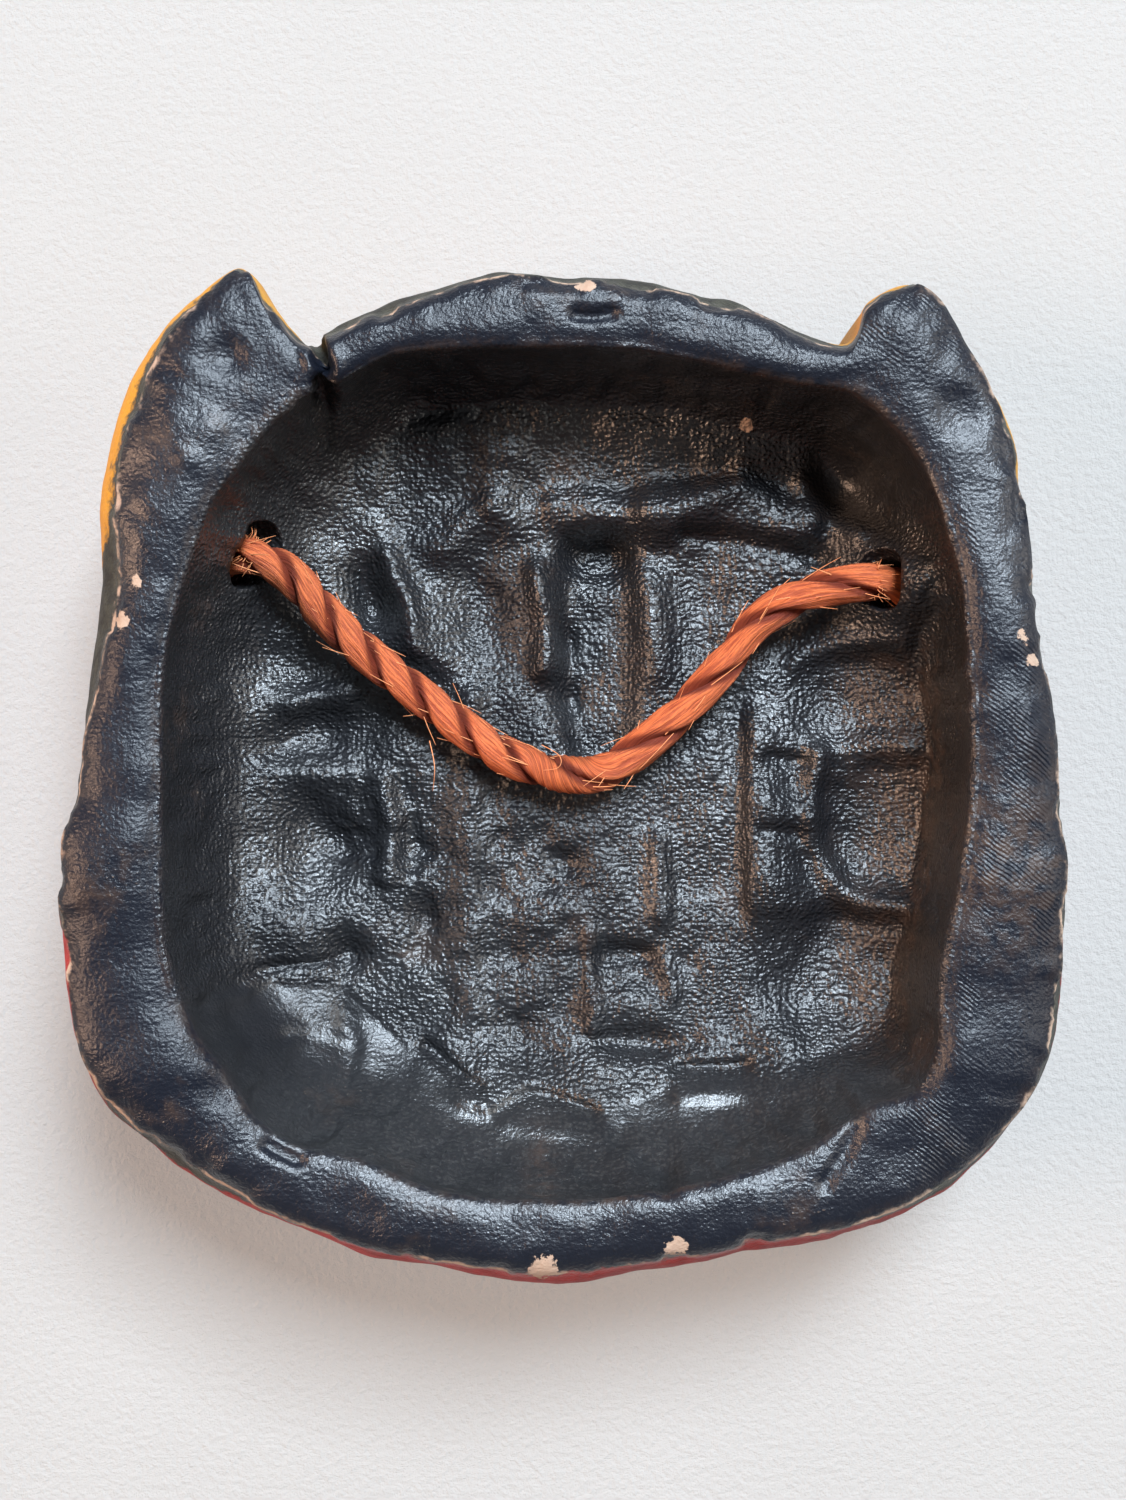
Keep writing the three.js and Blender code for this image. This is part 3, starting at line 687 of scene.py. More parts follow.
def tube(centres, radii, sides, squash=1.0, axes=None):
    """Points and faces of a closed tube round a line, with its texture places along and around."""
    side, over = axes if axes else frames_along(centres)
    turn = math.tau * np.arange(sides) / sides
    radii = np.broadcast_to(radii, (len(centres), sides))
    turn = turn[None, :, None]
    ring = side[:, None] * np.cos(turn) + squash * over[:, None] * np.sin(turn)
    points = (centres[:, None] + radii[:, :, None] * ring).reshape(-1, 3)
    first = np.arange(len(centres) - 1)[:, None] * sides
    here, after = np.arange(sides)[None], (np.arange(sides)[None] + 1) % sides
    faces = np.stack([first + here, first + after, first + sides + after, first + sides + here], axis=2)
    points = np.vstack([points, centres[0], centres[-1]])
    quads = faces.reshape(-1, 4)
    start, end, last = len(points) - 2, len(points) - 1, (len(centres) - 1) * sides
    caps = [(start, int((i + 1) % sides), i) for i in range(sides)]
    caps += [(end, last + i, last + int((i + 1) % sides)) for i in range(sides)]
    return points, quads, caps


def joined(tubes):
    """Several tubes as one set of points, faces and caps."""
    points, quads, caps, count = [], [], [], 0
    for tube_points, tube_quads, tube_caps in tubes:
        points.append(tube_points)
        quads.append(tube_quads + count)
        caps += [tuple(int(corner + count) for corner in cap) for cap in tube_caps]
        count += len(tube_points)
    return np.vstack(points), np.vstack(quads), caps


# Meshes


def new_object(name, points, faces, material, caps=(), smooth_faces=True):
    mesh = bpy.data.meshes.new(name)
    mesh.from_pydata((np.asarray(points) * MM).tolist(), [], np.asarray(faces).tolist() + list(caps))
    mesh.polygons.foreach_set("use_smooth", [smooth_faces] * len(mesh.polygons))
    mesh.update()
    piece = bpy.data.objects.new(name, mesh)
    bpy.context.collection.objects.link(piece)
    for each in material if isinstance(material, (list, tuple)) else [material]:
        mesh.materials.append(each)
    return piece


def set_field(piece, name, values):
    field = piece.data.attributes.new(name, "FLOAT", "POINT")
    field.data.foreach_set("value", np.asarray(values, dtype=np.float32))


def moved_fields(piece, points, fields):
    """Gives each vertex of a mesh the values of the nearest first point, after holes were cut."""
    tree = KDTree(len(points))
    for i, point in enumerate(points.tolist()):
        tree.insert(point, i)
    tree.balance()
    nearest = [tree.find(vertex.co / MM)[1] for vertex in piece.data.vertices]
    for name, values in fields.items():
        set_field(piece, name, np.asarray(values)[nearest])


def cut(piece, tools):
    for tool in tools:
        modifier = piece.modifiers.new("hole", "BOOLEAN")
        modifier.operation = "DIFFERENCE"
        modifier.solver = "MANIFOLD"
        modifier.object = tool
    shown = bpy.context.evaluated_depsgraph_get()
    whole = bpy.data.meshes.new_from_object(piece.evaluated_get(shown))
    piece.modifiers.clear()
    piece.data = whole
    for tool in tools:
        bpy.data.objects.remove(tool)


# Shaders


class Shader:
    """A material's nodes, made by short calls. A value is a number, a colour or another node's output."""

    def __init__(self, name, colour):
        self.material = bpy.data.materials.new(name)
        self.material.use_nodes = True
        self.material.diffuse_color = colour
        self.tree = self.material.node_tree
        self.surface = self.tree.nodes["Principled BSDF"]
        self.place = self.node("NewGeometry").outputs["Position"]

    def node(self, kind, values=None, **settings):
        made = self.tree.nodes.new(f"ShaderNode{kind}")
        for name, value in settings.items():
            setattr(made, name, value)
        for name, value in (values or {}).items():
            self.put(made.inputs[name], value)
        return made

    def put(self, socket, value):
        if isinstance(value, bpy.types.NodeSocket):
            self.tree.links.new(value, socket)
        else:
            socket.default_value = value

    def math(self, operation, *values):
        return self.node("Math", dict(enumerate(values)), operation=operation).outputs[0]

    def plus(self, first, second):
        return self.math("ADD", first, second)

    def times(self, first, second):
        return self.math("MULTIPLY", first, second)

    def spread(self, value, amount):
        """A value from 0 to 1, moved to lie evenly round 0."""
        return self.times(self.math("SUBTRACT", value, 0.5), amount)

    def mix(self, share, first, second):
        made = self.node("Mix", {0: share, 6: first, 7: second}, data_type="RGBA")
        return made.outputs[2]

    def field(self, name):
        return self.node("Attribute", attribute_name=name).outputs["Fac"]

    def stretched(self, vector, *scales):
        return self.node("VectorMath", {0: vector, 1: scales}, operation="MULTIPLY").outputs[0]

    def noise(self, width, vector=None, detail=2.0, sharp=0.5, warp=0.0):
        """Lumps about `width` mm wide."""
        values = {"Vector": vector or self.place, "Scale": 1 / (width * MM), "Detail": detail}
        values |= {"Roughness": sharp, "Distortion": warp}
        return self.node("TexNoise", values).outputs[0]

    def ramp(self, value, start, end, low=0.0, high=1.0):
        values = {"Value": value, "From Min": start, "From Max": end, "To Min": low, "To Max": high}
        return self.node("MapRange", values, interpolation_type="SMOOTHSTEP").outputs[0]

    def bump(self, height, distance, under=None):
        """Small relief, `distance` mm high."""
        values = {"Height": height, "Distance": distance * MM, "Strength": 1.0}
        if under is not None:
            values["Normal"] = under
        return self.node("Bump", values).outputs[0]

    def finish(self, **values):
        for name, value in values.items():
            self.put(self.surface.inputs[name.replace("_", " ")], value)
        return self.material


BLACK_PAINT = (0.011, 0.0115, 0.014, 1)
# Painted reflection: the lip's copy of the black paint is bluer, standing in for the sky reflected on the
# upturned lip
SKY_LIT_LIP_PAINT = (0.008, 0.010, 0.0165, 1)
# Brown: worn paint, and painted warm light at the right, where the warm lamp would be reflected
WORN_AND_WARM_LIT_PAINT = (0.050, 0.032, 0.025, 1)
# Grey: dusty paint at the chin, and painted light where the walls and slopes lie in shade
DUST_AND_LIGHT_PAINT = (0.050, 0.048, 0.046, 1)
BARE_CLAY = (0.52, 0.38, 0.27, 1)
DARK_CLAY = (0.38, 0.24, 0.18, 1)
OLIVE = (0.048, 0.047, 0.035, 1)
DARK_OLIVE = (0.024, 0.023, 0.020, 1)
RED_PAINT = (0.40, 0.018, 0.014, 1)
DARK_RED = (0.22, 0.016, 0.013, 1)
GOLD_PAINT = (0.60, 0.28, 0.03, 1)
WHITE_PAINT = (0.70, 0.66, 0.56, 1)
HAIR_PAINT = (0.016, 0.014, 0.013, 1)

# The surface's fine relief: pitch and height of the cloth's print, finger ridges, small pits
CLOTH_PITCH = 0.68
CLOTH_HEIGHT = 0.42
PRINT_PITCH = 0.55
PRINT_SHARE = 0.10
PRINT_ACROSS = (0.62, 0.78, 0.0)
PIT_HEIGHT = 0.30

# Stages of the paint, from the mouth (1) and the lip's outer edge (2) to the front's red (about 3)
PAINT_EDGE = 2.0
RED_START = 2.95


def fine_relief(shader, speckle, fine, patch):
    """The height of the cloth's print and the normal that all the fine relief gives."""
    plain = shader.field("plain")
    drift = shader.node("TexNoise", {"Vector": shader.place, "Scale": 260.0}).outputs[1]
    drift = shader.stretched(drift, 0.0009, 0.0009, 0.0)
    wavy = shader.node("VectorMath", {0: shader.place, 1: drift}, operation="ADD").outputs[0]
    cells = {
        "Vector": shader.stretched(wavy, 0.9, 1.15, 1.0),
        "Scale": 1 / (CLOTH_PITCH * MM),
        "Randomness": 0.65,
    }
    pebble = shader.node("TexVoronoi", cells, feature="SMOOTH_F1").outputs[0]
    pebble = shader.math("SUBTRACT", 1.0, pebble)
    grain = shader.times(pebble, shader.ramp(plain, 0.0, 1.0, 1.0, 0.12))
    grain = shader.plus(grain, shader.times(fine, 0.35))

    across = shader.node("VectorMath", {0: wavy, 1: PRINT_ACROSS}, operation="DOT_PRODUCT").outputs["Value"]
    lines = shader.math("SINE", shader.times(across, math.tau / (PRINT_PITCH * MM)))
    prints = shader.times(lines, shader.field("print"))
    prints = shader.times(prints, shader.ramp(patch, 0.48, 0.62))
    grain = shader.plus(grain, shader.times(prints, PRINT_SHARE))
    pits = shader.times(speckle, shader.ramp(plain, 0.0, 1.0, 1.0, 0.3))
    return pebble, shader.bump(pits, PIT_HEIGHT, shader.bump(grain, CLOTH_HEIGHT))


def back_paint(shader, stage, speckle, fine, patch, pebble):
    """Near black, the lip in a bluer copy that is painted reflection of the sky; browner in worn patches,
    at the edges, at a stain, and as painted warm light at the right; greyer as dusty paint at the chin and
    as painted light on the shaded walls and the print's crests.
    """
    # Worn patches at random, joined with the field of worn paint and painted warm light
    worn = shader.ramp(shader.plus(patch, shader.times(speckle, 0.4)), 0.80, 1.05)
    thin = shader.times(shader.field("wear_and_warm_light"), shader.ramp(speckle, 0.38, 0.62))
    worn = shader.math("MAXIMUM", worn, thin)
    # Painted reflection: the lip takes the bluer copy of the black paint
    black = shader.mix(shader.ramp(stage, 0.9, 1.05), BLACK_PAINT, SKY_LIT_LIP_PAINT)
    back = shader.mix(worn, black, WORN_AND_WARM_LIT_PAINT)
    # Painted highlight: the grey goes mostly on the crests of the print, as glints would
    crests = shader.ramp(pebble, 0.52, 0.82, 0.25, 1.0)
    back = shader.mix(shader.times(shader.field("dust_and_painted_light"), crests), back, DUST_AND_LIGHT_PAINT)
    rub = shader.times(shader.ramp(fine, 0.66, 0.74), shader.ramp(patch, 0.5, 0.7))
    return shader.mix(shader.times(rub, 0.35), back, BARE_CLAY)


def front_paint(shader, stage, speckle):
    """Red, with the hair, horns, eyes and teeth, and an olive border next to the lip."""
    front = shader.mix(shader.ramp(speckle, 0.3, 0.8), RED_PAINT, DARK_RED)
    painted = [("hair", HAIR_PAINT), ("gold", GOLD_PAINT), ("white", WHITE_PAINT), ("pupil", HAIR_PAINT)]
    for name, colour in painted:
        edge = shader.plus(shader.field(name), shader.spread(speckle, 0.25))
        front = shader.mix(shader.ramp(edge, 0.46, 0.54), front, colour)
    olive = shader.mix(shader.ramp(speckle, 0.35, 0.65), OLIVE, DARK_OLIVE)
    reach = shader.plus(shader.plus(stage, shader.spread(speckle, 0.7)), shader.field("early"))
    return shader.mix(shader.ramp(reach, RED_START - 0.1, RED_START + 0.1), olive, front)


def clay_material():
    shader = Shader("painted clay", BLACK_PAINT)
    stage = shader.field("stage")
    speckle = shader.noise(2.2, detail=4.0, sharp=0.65)
    fine = shader.noise(0.5, detail=3.0, sharp=0.6)
    ragged = shader.noise(1.8, detail=4.0, sharp=0.7)
    patch = shader.noise(14.0, detail=3.0)
    pebble, normal = fine_relief(shader, speckle, fine, patch)
    back = back_paint(shader, stage, speckle, fine, patch, pebble)
    front = front_paint(shader, stage, speckle)

    # The back's paint ends at the lip's outer edge, where clay shows in a broken line and at chips
    edge = shader.plus(stage, shader.spread(speckle, 0.12))
    colour = shader.mix(shader.ramp(edge, PAINT_EDGE - 0.02, PAINT_EDGE + 0.02), back, front)
    away = shader.math("ABSOLUTE", shader.math("SUBTRACT", edge, PAINT_EDGE + 0.02))
    line = shader.math("SUBTRACT", 1.0, shader.ramp(away, 0.02, 0.06))
    line = shader.times(line, shader.ramp(shader.noise(6.0, detail=4.0, sharp=0.7), 0.46, 0.60))
    chip = shader.ramp(shader.plus(shader.field("chip"), shader.times(ragged, 1.6)), 1.35, 1.45)
    bare = shader.math("MAXIMUM", line, chip)
    colour = shader.mix(bare, colour, shader.mix(speckle, BARE_CLAY, DARK_CLAY))

    gloss = shader.plus(0.21, shader.times(speckle, 0.20))
    gloss = shader.plus(gloss, shader.times(bare, 0.4))
    gloss = shader.plus(gloss, shader.ramp(stage, 2.0, 2.3, 0.0, 0.25))
    metal = shader.ramp(shader.field("gold"), 0.4, 0.6)
    metal = shader.times(metal, shader.ramp(stage, 2.8, 3.0, 0.0, 0.5))
    return shader.finish(
        Base_Color=colour, Roughness=gloss, Metallic=metal, Normal=normal,
        Specular_IOR_Level=shader.field("sheen"),
    )


# The cord's colours, from the painted shade in the grooves between its strands to its lightest fibres
GROOVE_SHADE = (0.13, 0.014, 0.005, 1)
DARK_DYE = (0.26, 0.028, 0.010, 1)
DYE = (0.70, 0.155, 0.044, 1)
PALE_DYE = (0.85, 0.27, 0.11, 1)
LOOSE_DYE = (0.85, 0.32, 0.13, 1)


def hemp_material():
    shader = Shader("hemp", (0.6, 0.2, 0.08, 1))
    fibre = shader.node("Attribute", attribute_name="fibre").outputs["Vector"]
    streak = shader.noise(0.24, fibre, detail=3.0, sharp=0.7)
    broad = shader.noise(1.1, fibre, detail=2.0)
    groove_shade = shader.field("groove_shade")
    colour = shader.mix(shader.ramp(streak, 0.38, 0.62), DARK_DYE, DYE)
    colour = shader.mix(shader.times(broad, 0.35), colour, PALE_DYE)
    # Painted shade: darkest on the side of each strand that faces into the groove
    colour = shader.mix(shader.times(groove_shade, 0.9), colour, GROOVE_SHADE)
    normal = shader.bump(shader.plus(streak, shader.times(broad, 0.8)), 0.50)
    return shader.finish(Base_Color=colour, Roughness=0.62, Normal=normal, Specular_IOR_Level=0.35)


def fibre_material():
    shader = Shader("loose fibre", (0.7, 0.3, 0.12, 1))
    return shader.finish(Base_Color=LOOSE_DYE, Roughness=0.6)


def floor_material():
    shader = Shader("plaster board", (0.8, 0.8, 0.8, 1))
    tooth = shader.noise(1.3, detail=5.0, sharp=0.7)
    tone = shader.mix(shader.noise(60.0), (0.325, 0.315, 0.30, 1), (0.355, 0.345, 0.33, 1))
    normal = shader.bump(tooth, 0.6)
    return shader.finish(
        Base_Color=tone, Roughness=0.85, Normal=normal, Emission_Color=(1, 1, 1, 1), Emission_Strength=0.20
    )


# Clay body


CRACK_DEPTH, CRACK_WIDTH = 3.0, 0.75
SLIT_DEPTH, SLIT_WIDTH = 1.3, 0.75
EDGE_CHIPPING = 0.7

# Points lower than this are the worn flats that the mask lies on, and stay flat
FLAT_HEIGHT = 0.6

# Damage to the clay: lines of points, then dents and lumps (place, radius, depth) and chips (place, radius)
CRACK = [(-33.0, 58.5), (-31.8, 55.3), (-32.9, 52.0), (-33.6, 47.2)]
SLITS = [
    [(2.0, 62.4), (4.6, 62.2), (7.0, 62.6)],
    [(-39.8, -50.1), (-37.6, -51.4), (-35.6, -52.2)],
    [(40.3, -46.4), (38.6, -51.0), (35.7, -55.5)],
]
DENTS = [(-45.5, 57.0, 2.6, 0.9), (-46.4, -42.7, 2.4, 0.7), (54.2, 49.2, 3.2, 0.8), (14.3, -55.8, 1.6, 0.8)]
LUMPS = [(-47.0, 46.8, 2.0, 0.6), (-50.4, 43.0, 1.6, 0.5), (55.4, 14.0, 2.0, 0.7), (56.4, 9.0, 1.8, 0.6)]
CHIPS = [
    (-59.5, 21.0, 1.5), (-57.5, 26.4, 1.1), (62.4, 19.0, 1.3), (63.8, 15.6, 1.3), (15.4, -63.8, 2.0),
    (3.5, 66.5, 1.6), (-2.5, -66.8, 2.6), (27.4, 51.2, 1.1), (-45.6, 30.2, 1.3), (41.6, 28.0, 1.1),
]


def round_spot(x, y, cx, cy, radius, power=1.0):
    return np.exp(-((((x - cx) ** 2 + (y - cy) ** 2) / radius**2) ** power))


def crack_distance(points):
    return distance_to(points[:, 0] + 0.5 * noise(points, 2.5, 45), points[:, 1], CRACK)


def wear_and_warm_light_of(points, stages):
    """Thin paint on the lip's outer edge, browner along the mouth's edge, and a stain at the chin; the
    brown on the floor and the wall at the right is painted warm light, the reflection of the warm lamp from
    the left.
    """
    x, y = points[:, :2].T
    wear_and_warm_light = peak(stages - 1.02, 0.08) + 0.6 * peak(stages - 1.96, 0.05)
    wear_and_warm_light = wear_and_warm_light * (0.5 + 0.5 * noise(points, 9.0, 31))
    # Painted warm light: brown on the floor and the foot of the wall at the right
    wear_and_warm_light += 0.8 * smooth(x, 36, 54) * smooth(24 - y, 0, 10) * (stages < 0.5)
    wear_and_warm_light += 1.2 * bell(-2.8, -56, 2.0, 4.5)(x, y) * (stages < 1.0)
    # Painted warm light: brown on the right wall and lip
    wear_and_warm_light += smooth(x, 50, 58) * bell(60, -12, 10, 12)(x, y) * (stages < 2.0)
    return np.clip(wear_and_warm_light, 0, 1)


def dust_and_painted_light_of(points, stages):
    """Dusty grey at the chin; painted light on the walls and on the slope at the upper left, which the
    lamps leave in shade.
    """
    x, y = points[:, :2].T
    hollow = stages <= 1.0
    on_wall = smooth(stages, 0.05, 0.4) * hollow
    # Painted light on the shaded walls, most at the right and at the upper left
    painted_wall_light = 0.1 + 0.4 * smooth(x, 20, 50) + 0.7 * smooth(y, 12, 45) * smooth(-x, 5, 35)
    dust_and_painted_light = 0.8 * smooth(-y, 38, 50) * hollow + on_wall * painted_wall_light
    # Painted light on the shaded slope at the upper left
    dust_and_painted_light += 0.6 * smooth(y - 20, 0, 14) * smooth(-20 - x, 0, 10) * hollow
    return np.clip(dust_and_painted_light, 0, 1) * (0.75 + 0.25 * noise(points, 6.0, 33))


def sheen_of(points, stages):
    """How much each point shines: patchy on the floor, less on the lip and the front, none in the crack."""
    x, y = points[:, :2].T
    sheen = 0.92 - 0.32 * smooth(stages, 1.0, 1.1) * smooth(30 - y, 0, 15) * smooth(y + 52, 0, 10)
    sheen *= np.where(stages < 1.0, 0.97 + 0.35 * noise(points, 9.0, 35), 0.62)
    sheen *= 1 - 0.3 * ridge(8.0, (-10, 22), (-12, 6), (4, -14), (4, -22))(x, y) * (stages < 1.0)
    sheen *= 1 - peak(crack_distance(points), 0.9)
    sheen *= 1 - 0.25 * smooth(y, 46, 56) + 0.25 * smooth(-y, 42, 56)
    sheen *= 1 - 0.35 * bell(-40, -38, 9, 9)(x, y)
    sheen *= 1 + 0.3 * bell(-19.5, 26, 6, 7)(x, y)
    return np.where(stages > 2, 0.2, sheen)


def front_fields(points, stages):
    """Where the front's paints lie, and how early its red and gold start on the mask's edge."""
    x, y = points[:, :2].T
    warped = points + 0.8 * np.column_stack([noise(points, 5.0, seed) for seed in (21, 22, 23)])
    wx, wy = warped[:, :2].T
    early = 0.55 * smooth(-y, 5, 30) + 0.72 * smooth(y, 24, 36) * smooth(abs(x), 34, 40)
    early += 0.35 * smooth(-y, 54, 64) + 0.45 * smooth(-x, 58, 66) * bell(-66, -22, 20, 18)(x, y)
    gold = sum(form(wx, wy) for _, form in HORNS)
    gold += smooth(y, 20, 32) * smooth(abs(x), 36, 40) * (stages < 3.6)
    hair_spots = [form for _, form in CURLS + HAIR + BROWS[:2]] + [mound(FACE_AXIS, -25, 18, 7.5)]
    hair = np.max([form(wx, wy) for form in hair_spots], axis=0)
    eyes = [mound(FACE_AXIS + side * 22, 17.2, 9.4, 6.0)(wx, wy) * 1.4 for side in (-1, 1)]
    white = np.max(eyes + [form(wx, wy) for _, form in MOUTH[3:]], axis=0)
    pupil = np.max([mound(FACE_AXIS + side * 21, 17.0, 4.2)(wx, wy) * 1.3 for side in (-1, 1)], axis=0)
    paints = {"gold": gold, "hair": hair * 1.1 - 0.1, "white": white, "pupil": pupil}
    fields = {name: np.where(stages > 2.0, np.clip(paint, 0, 1), 0) for name, paint in paints.items()}
    return fields | {"early": early}


def clay_fields(points, stages):
    """How each point of the clay is worn and painted, and where light and shade are painted on it."""
    x, y = points[:, :2].T
    line_x, line_y = np.array(CHIN_LINE).T
    chin = smooth(np.interp(x, line_x, line_y) - y, -1.0, 2.0)
    walls = smooth(y, 36, 46) * smooth(x, -28, -20) * smooth(stages, 0.35, 0.7)
    plain = np.clip(chin + 0.35 * walls + bell(44, 43, 8, 8)(x, y), 0, 1)
    chip = np.max([round_spot(x, y, *spot) for spot in CHIPS], axis=0)
    return {
        "stage": stages,
        "dust_and_painted_light": dust_and_painted_light_of(points, stages),
        "plain": np.where(stages > 1.0, 0.80, np.minimum(plain, 0.8)),
        "print": smooth(stages, 1.05, 1.3) * (1 - smooth(stages, 1.8, 2.0)) * smooth(x, 34, 44),
        "wear_and_warm_light": wear_and_warm_light_of(points, stages),
        "chip": np.where(stages < 3.2, chip, 0),
        "sheen": sheen_of(points, stages),
    } | front_fields(points, stages)


def carve(points, faces, stages):
    """Moves the surface in and out along its normals: hand-pressed lumps, dents, a crack and chips."""
    normals = normals_of(points, faces)
    x, y = points[:, :2].T
    on_lip = smooth(stages, 0.9, 1.15) * (1 - smooth(stages, 2.6, 3.2))
    shift = uneven(points, BODY_LUMPS)
    floor = 1 - smooth(stages, 0.5, 0.9)
    crumbly = floor * smooth(noise(points, 22.0, 51) - 0.02 * abs(x + 12), -0.5, 0.3)
    shift += crumbly * (0.30 - 0.75 * abs(noise(points, 2.6, 52))) + 0.16 * crumbly * noise(points, 1.3, 53)
    shift += on_lip * uneven(points, LIP_LUMPS)
    on_wall = smooth(stages, 0.1, 0.4) * (1 - smooth(stages, 0.8, 0.97))
    shift += on_wall * (0.55 * noise(points * (1, 1, 0.3), 2.0, 61) + 0.22 * noise(points, 1.4, 62))
    groove = crack_distance(points)
    split = smooth(stages, 0.5, 0.9) * smooth(3 - stages, 0, 0.5)
    shift -= split * CRACK_DEPTH * peak(groove, CRACK_WIDTH)
    shift += on_lip * 0.5 * peak(groove - 1.8, 0.9)
    for slit in SLITS:
        shift -= on_lip * SLIT_DEPTH * peak(distance_to(x, y, slit), SLIT_WIDTH)
    for cx, cy, radius, depth in DENTS:
        shift -= depth * round_spot(x, y, cx, cy, radius, 1.6) * (stages < 2.2)
    for cx, cy, radius, height in LUMPS:
        shift += height * round_spot(x, y, cx, cy, radius) * (stages < 2.2)
    ragged = smooth(uneven(points, EDGE_LUMPS), 0.05, 0.4) * peak(stages - 2.0, 0.25)
    shift -= EDGE_CHIPPING * ragged
    shift = np.where(points[:, 2] < FLAT_HEIGHT, 0, shift)
    return points + normals * shift[:, None]


def temple(side):
    """Where the cord's hole meets the wall inside, and the way out to the knot."""
    inner = INNER_ROUTE[0 if side == "left" else -1]
    return inner, unit(KNOTS[side] - inner)


def hole_tools(side):
    inner, way = temple(side)
    middle = (inner + KNOTS[side]) / 2
    length = np.linalg.norm(KNOTS[side] - inner) + 14
    bpy.ops.mesh.primitive_cylinder_add(vertices=40, radius=HOLE_RADIUS * MM, depth=length * MM)
    bore = bpy.context.object
    along = Vector(way).to_track_quat("Z", "Y").to_matrix().to_4x4()
    bore.matrix_world = Matrix.Translation(middle * MM) @ along
    bpy.ops.mesh.primitive_uv_sphere_add(segments=40, ring_count=24, radius=1.0)
    scoop = bpy.context.object
    turn = Vector((way[0], way[1], 0)).to_track_quat("X", "Z").to_matrix().to_4x4()
    size = Matrix.Diagonal((*(each * MM for each in SCOOP_SIZE), 1))
    scoop.matrix_world = Matrix.Translation((inner - way * SCOOP_SHIFT[side]) * MM) @ turn @ size
    return [bore, scoop]


def make_body(material):
    points, faces, stages = clay_shape()
    points = carve(points, faces, stages)
    body = new_object("clay_body", points, faces, material)
    bpy.context.view_layer.update()
    tools = hole_tools("left") + hole_tools("right")
    bpy.context.view_layer.update()
    cut(body, tools)
    body.data.polygons.foreach_set("use_smooth", [True] * len(body.data.polygons))
    moved_fields(body, points, clay_fields(points, stages))
    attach(body, "root")
    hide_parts("mask_body")
    return body


# Cord


def strands(line, lengths, lay, swell=1.0, sides=28, seed=0):
    """Two strands twisted round a line, as points, faces, fibre places and painted shade on each strand's
    side that faces the groove.
    """
    side, over = frames_along(line)
    turns = np.concatenate([[0], np.cumsum(np.diff(lengths) / lay[:-1])]) * math.tau
    tubes, fibres, groove_shades = [], [], []
    for strand in (0, 1):
        angle = turns + strand * math.pi
        away = np.cos(angle)[:, None] * side + np.sin(angle)[:, None] * over
        tangent = -np.sin(angle)[:, None] * side + np.cos(angle)[:, None] * over
        swell_at = np.broadcast_to(swell, lengths.shape)
        centres = line + away * (STRAND_REACH * swell_at)[:, None]
        turn = math.tau * np.arange(sides) / sides
        twist = turn[None] + math.tau * lengths[:, None] / (lay[:, None] * 0.9)
        yarn = 0.06 * np.cos(5 * twist) + 0.05 * np.cos(9 * twist + 1.3)
        apart = np.full_like(lengths, 50.0 * strand + seed)
        place = np.column_stack([lengths * 0.6, np.zeros_like(lengths), apart])
        lump = 1 + 0.07 * noise(place, 3.0, seed + 5)
        radii = STRAND_THICK * (swell_at * lump)[:, None] * (1 + yarn * 0.8)
        squash = STRAND_WIDE / STRAND_THICK
        tubes.append(tube(centres, radii, sides, squash, (away, tangent)))
        round_x, round_y = 1.6 * np.cos(twist), 1.6 * np.sin(twist)
        along = np.broadcast_to(lengths[:, None] * 0.045 + 9.0 * strand, twist.shape)
        fibre = np.stack([round_x, round_y, along], axis=2).reshape(-1, 3)
        fibres.append(np.vstack([fibre, fibre[0], fibre[-1]]))
        inside = np.broadcast_to(-np.cos(turn)[None], twist.shape).reshape(-1)
        # Painted shade: 1 on the side of the strand that faces the cord's middle, 0 on its outer side
        groove_shade = smooth(inside, -0.35, 0.35)
        groove_shades.append(np.concatenate([groove_shade, groove_shade[:1], groove_shade[-1:]]))
    return *joined(tubes), np.vstack(fibres), np.concatenate(groove_shades)


def strand_object(name, made, material):
    points, quads, caps, fibres, groove_shades = made
    piece = new_object(name, points, quads, material, caps)
    field = piece.data.attributes.new("fibre", "FLOAT_VECTOR", "POINT")
    field.data.foreach_set("vector", (fibres * MM).astype(np.float32).ravel())
    set_field(piece, "groove_shade", groove_shades)
    return piece


def make_knot(side, material):
    """A small tight overhand knot."""
    _, way = temple(side)
    t = np.linspace(0, math.tau, 150)
    loop = np.column_stack([np.sin(t) + 2 * np.sin(2 * t), np.cos(t) - 2 * np.cos(2 * t), -np.sin(3 * t)])
    loop *= (1.15, 1.15, 1.9)
    turn = np.array(Vector(way).to_track_quat("Z", "Y").to_matrix())
    line = KNOTS[side] + loop @ turn.T
    line, lengths = even_line(line, 0.5)
    made = strands(line, lengths, np.full(len(line), KNOT_LAY), 0.86, 20, 3)
    knot = strand_object(f"knot_{side}", made, material)
    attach(knot, "root")
    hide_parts(f"rope_knot_{side}")
    return knot


def thread(points, radius, sides=5):
    """A thin round fibre through a few points."""
    line = curved(np.array(points), 8)
    taper = radius * (1 - 0.6 * np.linspace(0, 1, len(line)) ** 2)
    return tube(line, taper[:, None], sides)


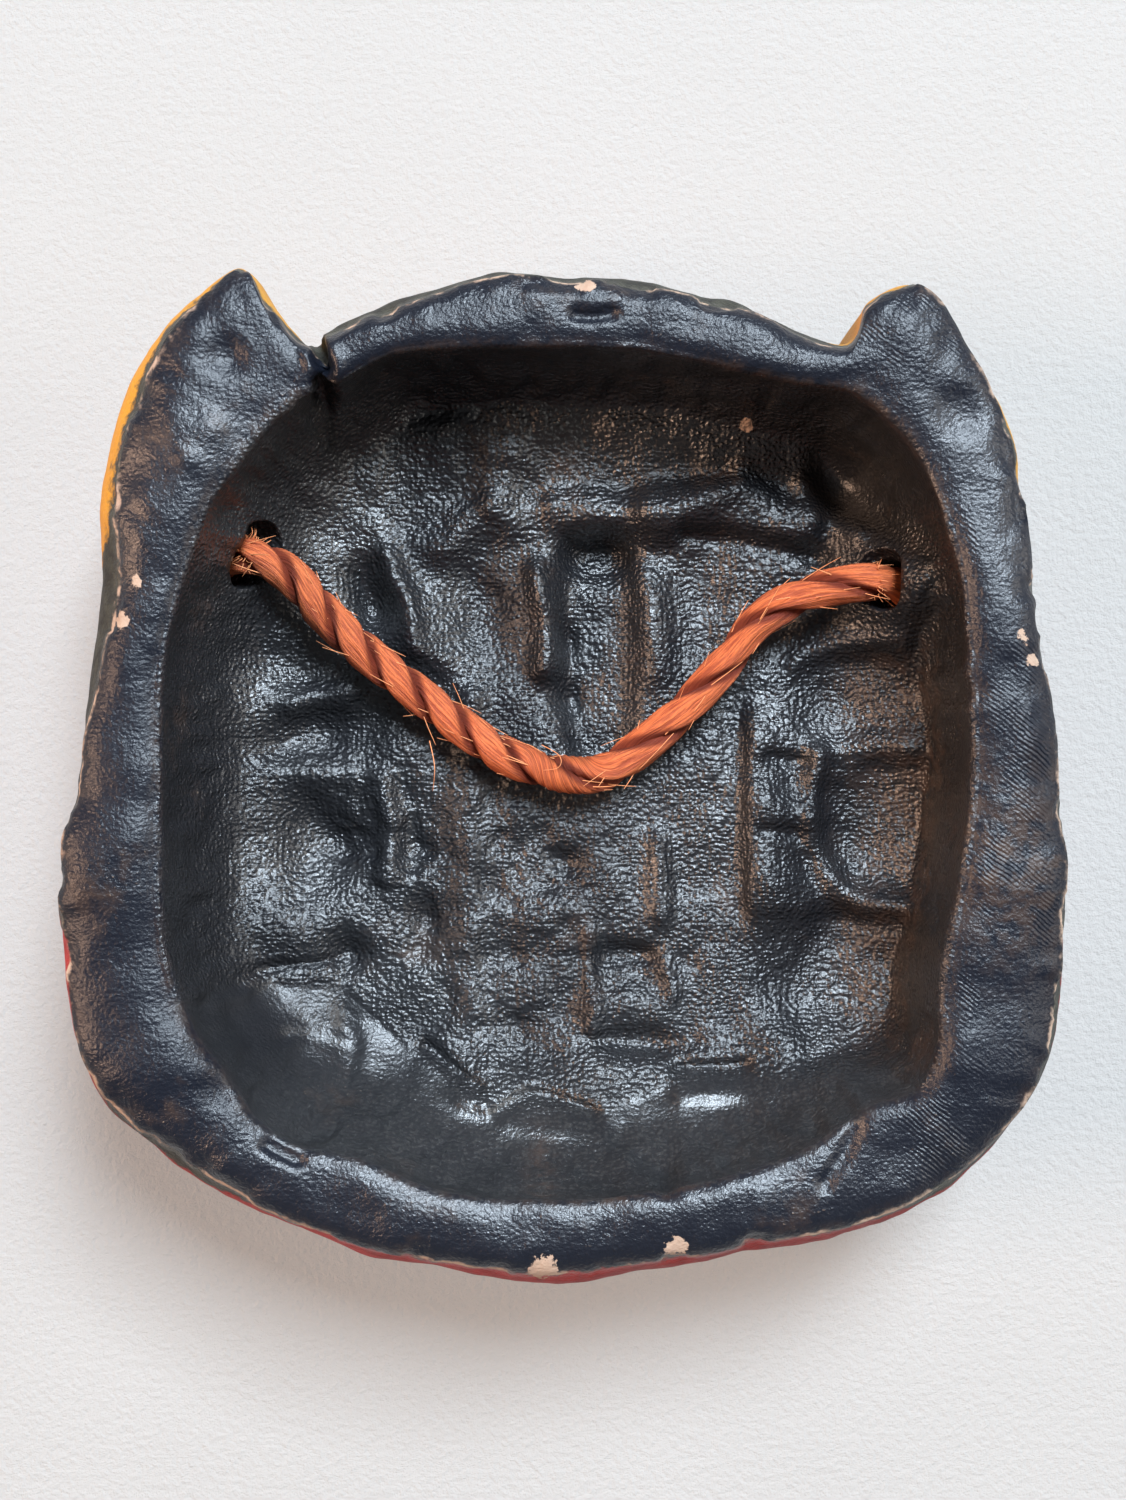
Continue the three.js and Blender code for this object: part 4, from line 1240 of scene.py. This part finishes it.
def make_fibres(line, material):
    """Loose fibres along the cord and frayed tufts at its holes, as one mesh."""
    threads = []
    for i in range(80):
        at = int(random.uniform(0.09, 0.91) * (len(line) - 1))
        middle = line[at]
        ahead = unit(line[min(at + 3, len(line) - 1)] - line[max(at - 3, 0)])
        out = random.normal(size=3)
        out[2] = abs(out[2]) * 0.8
        out = square_to(ahead, out)
        reach = random.uniform(0.2, 1.3)
        slide = random.choice([-1, 1]) * random.uniform(2.0, 6.0)
        bend = random.normal(size=3) * 0.35
        threads.append([
            middle + out * 2.0,
            middle + out * (2.4 + reach * 0.4) + ahead * slide * 0.5 + bend,
            middle + out * (2.5 + reach) + ahead * slide + bend * 2,
        ])
    for side, count in (("left", 60), ("right", 26)):
        inner, way = temple(side)
        for i in range(count):
            out = square_to(way, random.normal(size=3))
            start = inner - way * random.uniform(-1.0, 2.5) + out * 1.6
            threads.append([
                start,
                start + out * 0.7 - way * random.uniform(0, 1.5),
                start + out * random.uniform(0.8, 1.9) - way * random.uniform(-1.5, 2.5),
            ])
    high_spot = FLOOR_HEIGHT + 8.5
    threads.append([
        (-2.8, 4.2, high_spot - 2), (-0.2, 2.6, high_spot), (-0.6, 0.8, high_spot),
        (-5.0, 0.4, high_spot - 1.5),
    ])
    threads.append([(-19.2, 4.8, high_spot - 2), (-18.4, 1.0, high_spot - 1), (-18.8, -2.6, high_spot - 3)])
    points, quads, caps = joined(thread(each, random.uniform(0.05, 0.09)) for each in threads)
    return new_object("loose_fibres", points, quads, material, caps)


def make_cord(hemp, stray):
    line, lengths = even_line(cord_line(), 0.35)
    share = smooth(line[:, 0], -6, 8)
    lay = LEFT_LAY + (RIGHT_LAY - LEFT_LAY) * share
    squeeze = 1 - 0.06 * peak(line[:, 0] - 27, 3)
    cord = strand_object("cord", strands(line, lengths, lay, squeeze), hemp)
    knots = [make_knot(side, hemp) for side in ("left", "right")]
    fibres = make_fibres(line, stray)
    for piece in (cord, fibres):
        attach(piece, "root")
    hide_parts("rope")


# Floor and lights


def make_floor():
    bpy.ops.mesh.primitive_plane_add(size=1.6, location=(0, 0, 0))
    floor = bpy.context.object
    floor.name = "floor"
    floor.data.materials.append(floor_material())


def area_light(name, place, aim, size, power, colour):
    data = bpy.data.lights.new(name, "AREA")
    data.shape = "RECTANGLE"
    data.size, data.size_y = size
    data.energy = power
    data.color = colour
    lamp = bpy.data.objects.new(name, data)
    lamp.location = place
    lamp.rotation_euler = (Vector(aim) - Vector(place)).to_track_quat("-Z", "Y").to_euler()
    bpy.context.collection.objects.link(lamp)


def make_lights():
    area_light("window", (0.48, 1.17, 1.96), (0, 0, 0.02), (0.7, 0.9), 114.0, (0.76, 0.88, 1.0))
    area_light("warm wall", (-1.5, -0.1, 0.95), (0, 0, 0.02), (0.6, 0.5), 27.0, (1.0, 0.64, 0.44))
    area_light("room", (1.5, 0.1, 1.05), (0, 0, 0.02), (0.9, 0.7), 11.0, (1.0, 0.95, 0.88))
    world = bpy.data.worlds.new("room")
    world.use_nodes = True
    world.node_tree.nodes["Background"].inputs["Color"].default_value = (0.75, 0.78, 0.82, 1)
    world.node_tree.nodes["Background"].inputs["Strength"].default_value = 0.14
    bpy.context.scene.world = world


def set_tones():
    """Plain tones, as a camera's own picture has them."""
    bpy.context.scene.view_settings.view_transform = "Standard"


add_camera()
make_cord(hemp_material(), fibre_material())
make_body(clay_material())
make_floor()
make_lights()
set_tones()
bpy.context.view_layer.update()
